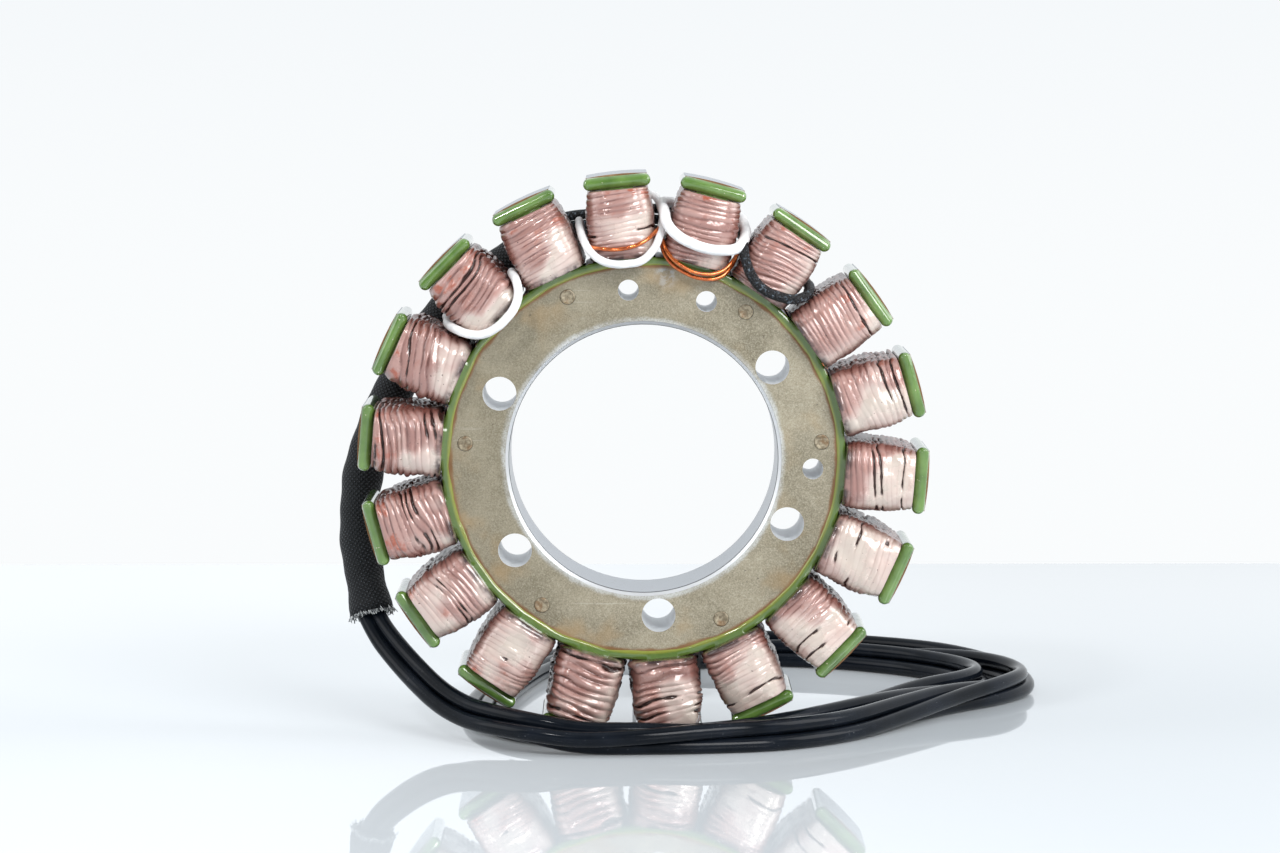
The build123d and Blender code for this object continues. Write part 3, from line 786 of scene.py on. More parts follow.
# For each coil, clockwise from the top: how uneven and how skewed it is, how much resin and how many gaps it
# has, and its turns more or less
COILS = (
    (0.7, 0.7, 0.22, 0.5, 1), (0.6, 0.3, 0.30, 0.2, 0), (0.8, 1.0, -0.07, 0.3, 2),
    (0.8, -0.5, 0.56, 0.5, 1), (1.0, 1.1, 0.56, 0.5, -1), (0.9, 0.3, 0.56, 0.9, 0),
    (1.0, 0.9, 0.75, 0.8, -1), (1.1, -0.8, 0.65, 0.8, -1), (1.0, 0.8, 0.50, 0.5, 0),
    (1.7, 0.6, 0.26, 1.6, -3), (1.7, -0.9, 0.20, 1.6, -3), (0.8, 1.0, 0.52, 0.1, 1),
    (1.0, 0.7, 0.50, 0.5, 0), (1.2, 1.2, 0.02, 1.3, -1), (1.3, 1.6, 0.02, 1.3, -2),
    (1.3, 1.8, 0.05, 1.3, -3), (1.3, 1.7, -0.05, 1.3, -2), (0.7, 0.8, 0.22, 0.2, 1),
)
# The small pits in the resin of two coils, as places on an upright pole
PITS = {12: (0.4, -13.5, 49.9), 7: (-5.3, -13.5, 52.8)}


def coil_tree():
    """A coil on an upright pole as one closed skin: ridges of wire, resin over them and gaps between them."""
    w, given = new_tree(
        "Coil on a pole", Int=["Turns"], Vector=["Resin and highlight side", "Pit"],
        Float=["Half width", *COIL_SHAPE, "Wire depth", "Unevenness", "Skew", "Resin", "Gaps", "Seed"])
    outline = w.value("GeometryNodeCurvePrimitiveQuadrilateral",
                      {"Width": given["Half width"] * 2.0, "Height": given["Half length"] * 2.0})
    outline = w.value("GeometryNodeFilletCurve", {"Curve": outline, "Radius": given["Corner"], "Count": 9},
                      mode="POLY")
    outline = w.value("GeometryNodeResampleCurve", {"Curve": outline, "Count": COIL_OUTLINE_POINTS},
                      mode="COUNT")

    # A flat grid is rolled up round the outline. Past each end its rows close onto the middle.
    skin = w.value("GeometryNodeMeshGrid", {"Size X": 1.0, "Size Y": 1.0,
                                            "Vertices X": COIL_COLUMNS + 1, "Vertices Y": COIL_ROWS})
    along, up = w.parts(w.value("GeometryNodeInputPosition"), "XY")
    raw = up * (1.0 + 2 * COIL_END) + 0.5
    level = raw.ramp(0.0, 1.0, kind="LINEAR")
    closing = abs(raw - level).ramp(0.0, COIL_END, 1.0, 0.0, "LINEAR")
    spot, tangent = w.values("GeometryNodeSampleCurve", ("Position", "Tangent"),
                             {"Curves": outline, "Factor": along + 0.5}, mode="FACTOR")
    outwards = w.vector_math("CROSS_PRODUCT", tangent, (0.0, 0.0, 1.0))
    outwards = w.scaled(outwards, w.math("SIGN", w.measure("DOT_PRODUCT", outwards, spot)))
    x, y = w.parts(spot, "XY")
    share = x / given["Half width"]
    side = abs(share)
    height = given["Outer end"] - given["Inner end"]
    rise = level * height
    body = w.vector_math("ADD", spot, w.vector(z=rise))

    def rough(scale, detail, shift):
        return w.seeded_noise(body, given["Seed"] + shift, scale, detail)

    def chance(value, shift):
        place = w.vector(value, given["Seed"], shift)
        return w.value("ShaderNodeTexWhiteNoise", {"Vector": place}, "Value", noise_dimensions="3D")

    # Where the turns run: strand counts them from the inner end
    ends = abs(level * 2.0 - 1.0) ** 4.0
    middle = 1.0 - ends
    lean = share * (y / given["Half length"]) * given["Skew"] * middle
    wander = (rough(75.0, 1.0, 0.0) - 0.5) * given["Unevenness"] * 6.0 * middle
    strand = (rise + (lean + wander)) / height * given["Turns"]
    spacing = w.seeded_noise(w.vector(x * 0.25, y, rise), given["Seed"], 330.0, 0.0)
    strand = strand + (spacing - 0.5) * (middle * 1.5)
    number = w.math("FLOOR", strand)
    seam = w.math("ROUND", strand)
    to_seam = abs(strand - seam)
    ridge = 1.0 - (to_seam * -2.0 + 1.0) ** 2.0

    half = w.vector(z=height * 0.5)
    # The resin grows to the lower right; its milky glaze there is partly a painted highlight.
    resin_and_highlight_pull = w.measure("DOT_PRODUCT", w.vector_math("SUBTRACT", body, half), given["Resin and highlight side"])
    resin = rough(75.0, 2.0, 3.0).ramp(0.34, 0.66, -0.65, 0.65) + resin_and_highlight_pull
    resin = (resin + given["Resin"]).ramp(0.1, 0.95)

    open_seam = w.math("LESS_THAN", chance(seam, 2.0), given["Gaps"] * 0.22)
    dash = rough(120.0, 1.5, 9.0).ramp(0.43, 0.48)
    ragged = (rough(520.0, 2.0, 17.0) - 0.5) * 0.55 + to_seam
    gap = open_seam * dash * ragged.ramp(0.26, 0.08) * ends.ramp(0.9, 0.6)
    pit = w.vector_math("SUBTRACT", w.vector(x, y, rise + given["Inner end"]), given["Pit"])
    pit = w.measure("LENGTH", w.vector_math("MULTIPLY", pit, (1.0, 0.1, 1.0)))
    gap = w.math("MAXIMUM", gap, pit.ramp(0.55 * MM, 0.38 * MM))

    # How far the skin stands out: ridges and resin, turns that stray, lumps, swellings, gaps, bulge and taper
    filled = resin * side.ramp(0.8, 1.0, 0.85, 0.4)
    bare = 1.0 - filled
    relief = rough(150.0, 2.0, 21.0).ramp(0.32, 0.68, 0.15, 1.7) * side.ramp(0.8, 1.0, 1.0, 0.7)
    reach = (ridge * bare + filled * 0.9) * relief * given["Wire depth"]
    reach = (chance(number, 5.0) - 0.6) * given["Unevenness"] * (bare * 0.55) + reach
    reach = (rough(160.0, 2.0, 7.0) - 0.6) * (given["Unevenness"] * 0.7) + reach
    reach = (rough(210.0, 1.0, 13.0) - 0.62) * resin * (1.1 * MM) + reach
    reach = gap * (-0.55 * MM) + reach
    reach = reach + w.math("MAXIMUM", (1.0 - share * share) * given["Bulge"], 0.0)
    over = level.ramp(0.5, 1.0, kind="LINEAR") ** 2.0
    under = level.ramp(0.5, 0.0, kind="LINEAR") ** 6.0
    reach = reach - (over * given["Outer taper"] + under * given["Inner rounding"])
    place = w.scaled(w.vector_math("ADD", w.scaled(outwards, reach), spot), closing)
    place = w.vector_math("ADD", place, w.vector(z=rise + given["Inner end"]))

    carried = {"level": level, "resin": resin, "ridge": ridge, "gap": gap, "tint": chance(number, 8.0),
               "side": side}
    for name, value in carried.items():
        skin = w.value("GeometryNodeStoreNamedAttribute", {"Geometry": skin, "Name": name, "Value": value},
                       data_type="FLOAT", domain="POINT")
    skin = w.value("GeometryNodeSetPosition", {"Geometry": skin, "Position": place})
    skin = w.value("GeometryNodeMergeByDistance", {"Geometry": skin, "Distance": 1e-6})
    return finish_tree(w, w.value("GeometryNodeSetShadeSmooth", {"Geometry": skin}), given)


def winding_finish(settings):
    """Pinkish enamelled copper under clear resin: milky glaze, partly a painted highlight to the lower right;
    painted shade, redder on the sides, in the grooves, in the gaps and with dark resin at the foot.
    """
    f = Finish("glazed_copper", settings.copper_colour, metallic=0.1, coat_roughness=0.05)
    level, resin, ridge = f.attribute("level"), f.attribute("resin"), f.attribute("ridge")
    tint, side, gap = f.attribute("tint"), f.attribute("side"), f.attribute("gap")
    cloud = f.noise(150.0, 4.0, 0.6)
    streak = f.noise(260.0, 3.0, 0.6, 0.3)
    # Painted shade in the grooves between the turns, where the resin is thin.
    valley = ridge.ramp(0.8, 0.05) * resin.ramp(1.0, 0.0, 0.12, 0.95)
    reddish = streak.ramp(0.52, 0.66) * level.ramp(0.5, 0.95, 0.2, 0.9)
    reddish = reddish * (ridge.ramp(0.1, 0.6) * tint.ramp(0.2, 0.5)) * resin.ramp(0.9, 0.4, 0.15, 1.0)
    f.set("Base Color", f.layers(
        f.mix(tint, darker(f.colour, 0.63, 0.509, 0.487), f.colour),
        (valley * f.noise(230.0, 3.0).ramp(0.36, 0.62, 0.2, 1.0), (0.13, 0.04, 0.03)),
        # Milky glaze and cream clouds in the resin, partly a painted highlight that gathers to the lower
        # right.
        (resin.ramp(0.0, 1.0, 0.05, 0.95) * ridge.ramp(0.0, 0.7, 0.55, 1.0), settings.glaze_and_highlight_colour),
        (resin.ramp(0.6, 1.0) * cloud.ramp(0.35, 0.65, 0.15, 0.8), (0.59, 0.52, 0.45)),
        (reddish, (0.36, 0.07, 0.025)),
        # Painted shade: the sides of each coil are painted darker and redder.
        (side.ramp(0.72, 1.0) * cloud.ramp(0.3, 0.6, 0.35, 0.9), (0.17, 0.055, 0.042)),
        # Dark resin and painted shade at the foot of each coil.
        (level.ramp(0.14, 0.01) * f.noise(420.0, 3.0).ramp(0.35, 0.6, 0.25, 1.0), (0.028, 0.011, 0.01)),
        (f.noise(1300.0, 2.0).ramp(0.72, 0.75, 0.0, 0.8), (0.05, 0.02, 0.015)),
        # Painted shade in the gaps and pits.
        (gap.ramp(0.15, 0.8), (0.045, 0.018, 0.014))))
    f.set("Roughness", cloud.ramp(0.3, 0.7, 0.36, 0.22))
    f.set("Coat Weight", side.ramp(0.86, 1.0, 1.0, 0.3))
    f.bump(f.noise(520.0, 3.0) + streak * 0.6, 0.3, 0.2 * MM)
    f.bump(f.noise(900.0, 2.0), 0.35, 0.25 * MM, "Coat Normal")
    return f.material


def make_coils(settings):
    """The eighteen coils, each with its own irregular lay."""
    tree = coil_tree()
    copper = winding_finish(settings)
    across, along = settings.resin_and_highlight_side
    for number, (uneven, skew, resin, gaps, more_turns) in enumerate(COILS, 1):
        turn = pole_turn(number)
        values = {key: size * MM for key, size in COIL_SHAPE.items()}
        values |= {
            "Turns": max(4, settings.turns + more_turns),
            "Half width": settings.half_width - COIL_SKIN * MM,
            "Wire depth": (WIRE_DEPTH + DEPTH_PER_TURN_LESS * max(0, -more_turns)) * MM,
            "Unevenness": settings.unevenness * uneven,
            "Skew": skew * MM,
            "Resin": resin,
            "Gaps": gaps,
            "Resin and highlight side": tuple(Matrix.Rotation(-turn, 3, "Y") @ Vector((across, 0.0, along))),
            "Pit": tuple(c * MM for c in PITS.get(number, (0.0, 0.0, 0.0))),
            "Seed": 1.7 * number,
            "Material": copper,
        }
        coil = grown(mesh_object("coil_seed", [(0, 0, 0)]), tree, values, f"coil_{number:02d}_turns")
        coil.data.transform(Matrix.Rotation(turn, 4, "Y"))
        put_on(outward(coil), "winding", f"coil_{number:02d}")


# The lacing ties by pole, as points for point_at, and their radii
TIES = {
    17: [(-1.0, 0, 0.479), (-0.99, -0.60, 0.430), (-0.95, -0.86, 0.330), (-0.82, -1.02, 0.130),
         (-0.60, -1.085, -0.005), (-0.22, -1.09, -0.080), (0.18, -1.09, -0.092), (0.55, -1.09, -0.065),
         (0.87, -1.03, 0.030), (1.02, -0.93, 0.170), (1.03, -0.70, 0.290), (1.0, -0.15, 0.270),
         (0.95, 0.450, 0.120), (0.78, 0.880, 0.060), (0.56, 1.020, 0.180), (0.45, 1.050, 0.460),
         (0.40, 1.160, 0.720), (0.34, 1.430, 0.810), (0.16, 1.638, 0.660), (-0.302, 1.638, 0.364),
         (-0.575, 1.487, 0.179), (-0.874, 1.212, 0.114), (-1.015, 1.0, 0.279), (-1.0, 0.731, 0.479)],
    1: [(-1.0, 0, 0.500), (-0.99, -0.60, 0.470), (-0.975, -0.84, 0.330), (-0.86, -1.00, 0.130),
        (-0.60, -1.085, -0.010), (-0.25, -1.10, -0.075), (0.10, -1.10, -0.085), (0.44, -1.09, -0.070),
        (0.76, -1.04, 0.050), (0.95, -0.92, 0.250), (0.995, -0.70, 0.440), (1.0, 0, 0.543),
        (0.994, 0.731, 0.571), (0.927, 0.872, 0.679), (0.793, 1.026, 0.786), (0.603, 1.199, 0.771),
        (0.335, 1.221, 0.636), (-0.414, 1.221, 0.236), (-0.812, 1.141, 0.100), (-0.984, 0.974, 0.136),
        (-1.018, 0.808, 0.350), (-0.999, 0.667, 0.493)],
    2: [(-1.0, 0, 0.620), (-0.99, -0.60, 0.640), (-0.96, -0.84, 0.590), (-0.88, -0.99, 0.460),
        (-0.62, -1.08, 0.345), (-0.20, -1.10, 0.275), (0.25, -1.10, 0.260), (0.62, -1.08, 0.295),
        (0.90, -0.99, 0.365), (0.99, -0.83, 0.470), (1.0, -0.55, 0.570), (1.0, 0, 0.610),
        (0.99, 0.731, 0.640), (0.888, 0.936, 0.720), (0.647, 1.179, 0.740), (0.335, 1.221, 0.636),
        (-0.335, 1.221, 0.636), (-0.647, 1.179, 0.700), (-0.846, 0.950, 0.700), (-0.960, 0.790, 0.690)],
}
TIE_RADII = {17: 0.92, 1: 0.82, 2: 1.12}


def tie_finish():
    """Off-white lacing sleeve with a soft sheen and faint grey marks."""
    f = Finish("white_lacing", (0.93, 0.93, 0.93), roughness=0.45, sheen_weight=0.2)
    f.set("Base Color", f.mix(f.noise(420.0, 4.0).ramp(0.35, 0.7), f.colour, (0.76, 0.77, 0.78)))
    f.bump(f.noise(700.0, 3.0), 0.3, 0.2 * MM)
    return f.material


def make_ties():
    """The three lacing ties round coils of poles 17, 1 and 2."""
    material = tie_finish()
    for number, shares in TIES.items():
        points = [point_at(number, *share) for share in shares]
        tie = wire_piece(f"lacing_{number:02d}", points, TIE_RADII[number], 16, material, closed=True,
                         variation=0.35, grain=260.0, seed=float(number))
        put_on(tie, "tie", f"tie_pole_{number:02d}")


# The line of the sleeve from its mouth behind the top coils to its cut end
SLEEVE_ROUTE = [
    (-22.5, 20.1, 42.9), (-33.6, 20.1, 36.0), (-43.9, 20.1, 27.0), (-52.8, 20.1, 12.8),
    (-58.8, 20.1, -1.0), (-60.6, 19.5, -12.4), (-60.2, 18.2, -23.8), (-57.6, 15.0, -35.3),
]
# The unevenness of the cloth: its size, how fast it goes along the sleeve, and round it
SLEEVE_PUFFS = ((0.12, 420.0, 0.0), (0.10, 930.0, 2.0))
SLEEVE_FLARE = 0.45
SLEEVE_FLARE_LENGTH = 9.0
SLEEVE_SKIN = 0.1
# The lead that crosses pole 3, as points for point_at
LEAD_CROSSING = [
    (1.0, 0.865, 0.470), (1.0, -0.600, 0.420), (1.0, -0.860, 0.330), (0.80, -1.020, 0.200),
    (0.468, -1.080, 0.121), (0.053, -1.080, 0.079), (-0.351, -1.080, 0.121), (-0.712, -1.038, 0.250),
    (-0.969, -0.865, 0.436), (-1.0, -0.673, 0.507), (-1.0, 0.769, 0.507),
]
LEAD_LEVEL = 0.62
LEAD_GAP = 0.1
# The leads behind the poles, as angles round the axis and depths
LEAD_A_BEHIND = ((67.0, 15.4), (70, LEAD_DEPTH), (80, LEAD_DEPTH), (90, LEAD_DEPTH), (101, LEAD_DEPTH))
LEADS_BC_BEHIND = ((85.5, 13.4), (86.5, 15.6), (89.5, LEAD_DEPTH), (95, LEAD_DEPTH), (101, LEAD_DEPTH))
# How far each of a lead's last points lies past the sleeve's mouth
MOUTH_RUN = (-1.4 * SLEEVE_RADIUS, 0.0, 3.0)


def lead_finish():
    """Rough black woven cover of the leads with a dusty highlight."""
    f = Finish("black_braid", (0.004, 0.0045, 0.006), roughness=0.5, specular_ior_level=0.35)
    dust = f.noise(1500.0, 3.0, 0.6).ramp(0.55, 0.66, 0.0, 0.8)
    f.set("Base Color", f.mix(dust, f.colour, (0.13, 0.17, 0.21)))
    f.bump(f.value("ShaderNodeTexVoronoi", {"Vector": f.space, "Scale": 2300.0}, "Distance"), 0.9, 0.4 * MM)
    return f.material


def mouth_run(offset):
    """The last run of a lead into the sleeve's mouth."""
    mouth = Vector(SLEEVE_ROUTE[0])
    ahead = (Vector(SLEEVE_ROUTE[1]) - mouth).normalized()
    end = mouth + Vector((0, 1, 0)).cross(ahead) * offset
    return [(end + ahead * reach) * MM for reach in MOUTH_RUN]


def make_leads():
    """The three leads that run over the rear of the coils into the sleeve."""
    material = lead_finish()
    spacing = 2 * LEAD_RADIUS + LEAD_GAP
    outer = COIL_INNER + LEAD_LEVEL * (COIL_OUTER - COIL_INNER)
    crossing = [point_at(3, *share) for share in LEAD_CROSSING]
    leads = (("a", crossing, LEAD_A_BEHIND), ("b", [], LEADS_BC_BEHIND), ("c", [], LEADS_BC_BEHIND))
    for i, (name, points, behind) in enumerate(leads):
        points += [at_angle(angle, depth, outer - i * spacing) for angle, depth in behind]
        points += mouth_run((1 - i) * spacing)
        lead = wire_piece(f"lead_{name}", points, LEAD_RADIUS, 16, material, variation=0.22, grain=900.0)
        put_on(lead, "lead", f"phase_lead_{name}")


# The bare winding ends: the pole that each node crosses, and its wires as points for point_at
BRIGHT_WIRES = {
    "bright_wire_01": (1, [[
        (-1.0, 0.513, 0.307), (-1.0, -0.692, 0.307), (-0.928, -0.840, 0.236), (-0.539, -1.035, 0.164),
        (0, -1.035, 0.136), (0.532, -1.035, 0.207), (0.873, -0.872, 0.350), (0.999, -0.692, 0.414),
        (0.999, 0.513, 0.414)]]),
    "bright_wires_02": (2, [[
        (-0.999, 0.513, 0.343), (-0.999, -0.692, 0.343), (-0.954, -0.846, 0.193), (-0.726, -0.936, 0.021),
        (-0.279, -0.981, -0.093), (0.282, -0.981, -0.121), (0.763, -0.936, -0.021), (0.958, -0.846, 0.179),
        (1.0, -0.692, 0.357), (1.0, 0.513, 0.357)], [
        (-1.0, 0.513, 0.271), (-1.0, -0.692, 0.271), (-0.954, -0.808, 0.107), (-0.719, -0.878, -0.064),
        (-0.272, -0.910, -0.164), (0.318, -0.910, -0.193), (0.800, -0.878, -0.107), (0.976, -0.795, 0.079),
        (1.001, -0.692, 0.279), (1.001, 0.513, 0.279)]]),
}
BRIGHT_RADIUS = 0.43
# The crossover wire of each phase: the radius of the slot floors that it lies on, and its depth
CROSSOVERS = ((40.6, 11.8), (41.4, 11.8), (41.0, 12.6))
CROSSOVER_RADIUS = 0.4
CROSSOVER_INSET = 0.35
CROSSOVER_START = 60.0
CROSSOVER_SLOTS = 16


def bright_finish():
    """Orange enamelled copper."""
    f = Finish("enamelled_copper", (0.70, 0.17, 0.03), roughness=0.16, metallic=0.75, coat_weight=0.8)
    grain = f.noise(900.0, 3.0)
    f.set("Base Color", f.mix(grain.ramp(0.35, 0.7), f.colour, (0.42, 0.075, 0.012)))
    f.bump(grain, 0.15, 0.1 * MM)
    return f.material


def make_bright_wires():
    """The bare ends of windings that cross the front of poles 1 and 2."""
    material = bright_finish()
    for node, (number, lines) in BRIGHT_WIRES.items():
        pieces = []
        for i, shares in enumerate(lines):
            points = [point_at(number, *share) for share in shares]
            pieces.append(wire_piece(f"{node}_{i}", points, BRIGHT_RADIUS, 10, material))
        put_on(joined(node.replace("bright", "winding_end"), pieces), "bright_copper", node)


def make_crossovers():
    """The wires that run from coil to coil round the rear rim, straight across each slot."""
    material = bright_finish()
    pieces = []
    for phase, (floor, depth) in enumerate(CROSSOVERS):
        radius = floor / math.cos(math.radians(POLE_PITCH / 2)) - CROSSOVER_INSET
        start = FIRST_POLE_ANGLE - phase * POLE_PITCH + CROSSOVER_START
        points = [at_angle(start + k * POLE_PITCH, depth, radius) for k in range(CROSSOVER_SLOTS)]
        pieces.append(wire_piece(f"crossover_{phase}", points, CROSSOVER_RADIUS, 8, material))
    put_on(joined("crossover_runs", pieces), "winding", "crossover_wires")


def sleeve_finish(settings):
    """Charcoal twill: two crossing sets of slanted threads along the sleeve's own map."""
    f = Finish("woven_sleeve", settings.sleeve_colour, roughness=0.6, specular_ior_level=0.3,
               sheen_weight=0.08, sheen_roughness=0.4)
    plan = f.value("ShaderNodeUVMap", uv_map="UVMap")

    def threads(slant, distortion):
        place = f.stretched(plan, turn=(0.0, 0.0, math.radians(slant)))
        sockets = {"Vector": place, "Scale": 430.0, "Distortion": distortion, "Detail": 1.0,
                   "Detail Scale": 3.0}
        return f.value("ShaderNodeTexWave", sockets, "Fac")

    weave = threads(52, 0.3) * threads(-38, 0.4)
    light = weave.ramp(0.5, 1.0) * f.noise(300.0, 4.0).ramp(0.4, 0.7, 0.5, 1.0)
    f.set("Base Color", f.mix(light, f.colour, (0.085, 0.095, 0.110)))
    f.bump(weave, 0.8, 0.3 * MM)
    return f.material


def fray_tree():
    """Short threads round the cut end of the sleeve, each with its own length and lean."""
    w, given = new_tree("Frayed end", Int=["Count", "Seed"],
                        Float=["Radius", "Length", "Spread", "Thickness"])
    circle = w.value("GeometryNodeCurvePrimitiveCircle", {"Resolution": 96, "Radius": given["Radius"]})
    points = w.value("GeometryNodeCurveToPoints", {"Curve": circle, "Count": given["Count"]}, mode="COUNT")
    thread = w.value("GeometryNodeCurvePrimitiveLine", {"Start": (0.0, 0.0, 0.0), "End": (0.0, 0.0, 1.0)})
    section = w.value("GeometryNodeCurvePrimitiveCircle", {"Resolution": 4, "Radius": 1.0})
    thread = w.value("GeometryNodeCurveToMesh",
                     {"Curve": thread, "Profile Curve": section, "Fill Caps": True})
    limits = {0: (-1.0, -1.0, -1.0), 1: (1.0, 1.0, 1.0)}
    lean = w.value("FunctionNodeRandomValue", {**limits, "Seed": given["Seed"]}, data_type="FLOAT_VECTOR")
    share = w.value("FunctionNodeRandomValue", {2: 0.35, 3: 1.0, "Seed": given["Seed"]}, 1)
    size = w.vector(given["Thickness"], given["Thickness"], share * given["Length"])
    threads = w.value("GeometryNodeInstanceOnPoints", {"Points": points, "Instance": thread, "Scale": size,
                                                       "Rotation": w.scaled(lean, given["Spread"])})
    return finish_tree(w, threads, given)


def fray_finish():
    """Pale glass threads at the cut end."""
    f = Finish("frayed_glass", (0.80, 0.81, 0.80), roughness=0.5)
    f.set("Base Color", f.mix(f.noise(1400.0, 2.0).ramp(0.35, 0.65), (0.22, 0.23, 0.24), f.colour))
    return f.material


def make_sleeve(settings):
    """The woven sleeve behind the coils and its frayed end."""
    line = line_of([Vector(p) * MM for p in SLEEVE_ROUTE])
    sleeve_length = sum((b - a).length for a, b in zip(line, line[1:]))

    def thickness(along, turn):
        puff = sum(size * math.sin(along * rate + spin * turn) for size, rate, spin in SLEEVE_PUFFS)
        flare = SLEEVE_FLARE * max(0.0, 1.0 - (sleeve_length - along) / (SLEEVE_FLARE_LENGTH * MM)) ** 2
        return (SLEEVE_RADIUS - SLEEVE_SKIN + puff + flare) * MM

    put_on(tube_along("sleeve_cloth", line, thickness, 40, sleeve_finish(settings)), "woven_sleeve",
           "harness_sleeve")
    values = {"Count": 190, "Radius": (SLEEVE_RADIUS + 0.15) * MM, "Length": 2.0 * MM, "Spread": 0.55,
              "Thickness": 0.12 * MM, "Seed": 5, "Material": fray_finish()}
    fray = grown(mesh_object("fray_seed", [(0, 0, 0)]), fray_tree(), values, "sleeve_fray")
    ahead = (line[-1] - line[-2]).normalized()
    turn = Vector((0, 0, 1)).rotation_difference(ahead).to_matrix().to_4x4()
    fray.data.transform(Matrix.Translation(line[-1] - ahead * 0.7 * MM) @ turn)
    put_on(fray, "woven_sleeve")


# The bundle's way from the sleeve to the connector: for each stretch how the wires lie, then its stations,
# each with its place along X and Y, how far the wires have turned round each other, and the height of the
# bundle's middle where it is off the floor
WIRE_ROUTE = (
    ("bunch",
     (-57.4, 14.9, 0, 23.7), (-55.4, 12.5, 0, 20.0), (-51.8, 8.2, 0, 16.1), (-47.0, 2.0, 0, 11.9),
     (-41.8, -5.8, 0, 8.3), (-36.3, -12.9, 0, 6.2), (-30.2, -19.9, -12, 5.1), (-22.6, -25.6, -20, 4.3),
     (-13.0, -28.0, -30), (0.0, -27.6, -45), (14.0, -25.2, -75), (28.6, -20.9, -110), (42.5, -8.9, -120),
     (54.0, 8.3, -135), (66.5, 26.3, -165), (79.2, 41.4, -205), (85.6, 57.0, -240), (81.9, 72.9, -270),
     (71.4, 89.0, -310), (56.4, 102.9, -350), (38.2, 112.3, -360), (20.2, 117.3, -360)),
    ("closing", (3.2, 120.6, -360)),
    ("opening", (-11.3, 118.0, -360)),
    ("flat",
     (-17.0, 103.0, 0), (-25.0, 83.0, 0), (-30.0, 59.0, 0), (-33.5, 35.0, 0), (-33.8, 20.0, 0),
     (-31.4, 7.0, 0), (-27.2, -3.5, 0), (-21.5, -11.0, 0), (-13.2, -16.0, 0)),
    ("opening", (-1.0, -18.8, 0)),
    ("closing", (16.0, -18.9, 0)),
    ("bunch",
     (28.6, -12.3, 0), (40.0, 1.2, 15), (50.5, 16.7, 45), (61.0, 33.7, 80), (70.8, 46.8, 110),
     (75.8, 59.6, 120), (71.6, 73.4, 120), (61.0, 86.2, 120), (47.2, 95.6, 120), (33.0, 100.4, 120)),
    ("closing", (19.0, 100.6, 120)),
    ("opening", (9.5, 95.4, 120)),
    ("lanes", (5.5, 86.5, 120, 2.0), (5.5, 80.0, 120, 4.0), (5.5, 75.0, 120, 5.5), (5.5, 72.5, 120, 5.5)),
)
# Where the three wires lie from the middle of the bundle in each way of lying that isn't a bunch
LAYS = {
    "closing": ((-2.6, 0.0), (2.6, 0.0), (0.0, 2.2)),
    "opening": ((-3.18, 0.0), (3.18, 0.0), (0.0, 1.2)),
    "flat": ((-3.42, 0.0), (3.42, 0.0), (0.0, 0.0)),
    "lanes": ((-4.2, 0.0), (4.2, 0.0), (0.0, 0.0)),
}
# The angles of the three wires in a bunch, in the order of the places in LAYS
WIRE_ANGLES = (210, 330, 90)


def rubber_finish(settings):
    """Slate-black rubber with a faint bloom and a few scuffs."""
    f = Finish("black_rubber", settings.wire_colour, specular_ior_level=0.13)
    bloom = f.noise(55.0, 4.0, 0.6)
    grain = f.noise(1800.0, 3.0)
    scuffs = grain.ramp(0.66, 0.72) * bloom.ramp(0.5, 0.6, 0.0, 0.6)
    f.set("Base Color", f.layers(
        f.mix(bloom.ramp(0.35, 0.7), darker(f.colour, 0.375, 0.409, 0.412), f.colour),
        (scuffs, (0.12, 0.13, 0.14))))
    f.set("Roughness", bloom.ramp(0.3, 0.7, 0.11, 0.20))
    f.bump(grain, 0.12, 0.1 * MM)
    return f.material


def wire_place(lay, turned, wire):
    """Where one wire of three lies in the bundle: to its left, and above its lowest wire."""
    if lay != "bunch":
        return LAYS[lay][WIRE_ANGLES.index((turned + WIRE_ANGLES[wire]) % 360)]
    reach = WIRE_PITCH / math.sqrt(3)
    turns = [math.radians(turned + angle) for angle in WIRE_ANGLES]
    lowest = min(reach * math.sin(turn) for turn in turns)
    return reach * math.cos(turns[wire]), reach * math.sin(turns[wire]) - lowest


def wire_route(wire):
    """The control points of one output wire, from the sleeve to the connector."""
    stations = [(lay, *station) for lay, *stretch in WIRE_ROUTE for station in stretch]
    points = []
    for i, (lay, x, y, turned, *middle) in enumerate(stations):
        before = stations[max(i - 1, 0)]
        after = stations[min(i + 1, len(stations) - 1)]
        ahead = Vector((after[1] - before[1], after[2] - before[2], 0.0)).normalized()
        left = Vector((-ahead.y, ahead.x, 0.0))
        across, above = wire_place(lay, turned, wire)
        height = WIRE_RADIUS + above
        if middle:
            height = middle[0]
            if lay == "bunch":
                height += above - WIRE_PITCH / (2 * math.sqrt(3))
        points.append((Vector((x, y, FLOOR + height)) + left * across) * MM)
    return points


def make_output_wires(settings):
    """The three output wires as free cords: twice round the floor and into the connector."""
    material = rubber_finish(settings)
    for wire in range(3):
        points = wire_route(wire)
        cord = nurbs_curve(f"output_wire_{wire + 1}_rubber", points)
        cord.data.bevel_depth = settings.wire_diameter / 2
        cord.data.bevel_resolution = 5
        cord.data.use_fill_caps = True
        cord.data.materials.append(material)
        nodes = [f"output_wire_{wire + 1}"] + (["wire_loop"] if wire == 0 else [])
        put_on(cord, "wire", *nodes)


def housing_finish(settings):
    """Fine-grained moulded plastic."""
    f = Finish("moulded_housing", settings.connector_colour, roughness=0.5)
    f.set("Base Color", f.mix(f.noise(90.0).ramp(0.35, 0.7), darker(f.colour, 0.5, 0.5, 0.514), f.colour))
    f.bump(f.noise(2600.0, 3.0), 0.3, 0.1 * MM)
    return f.material


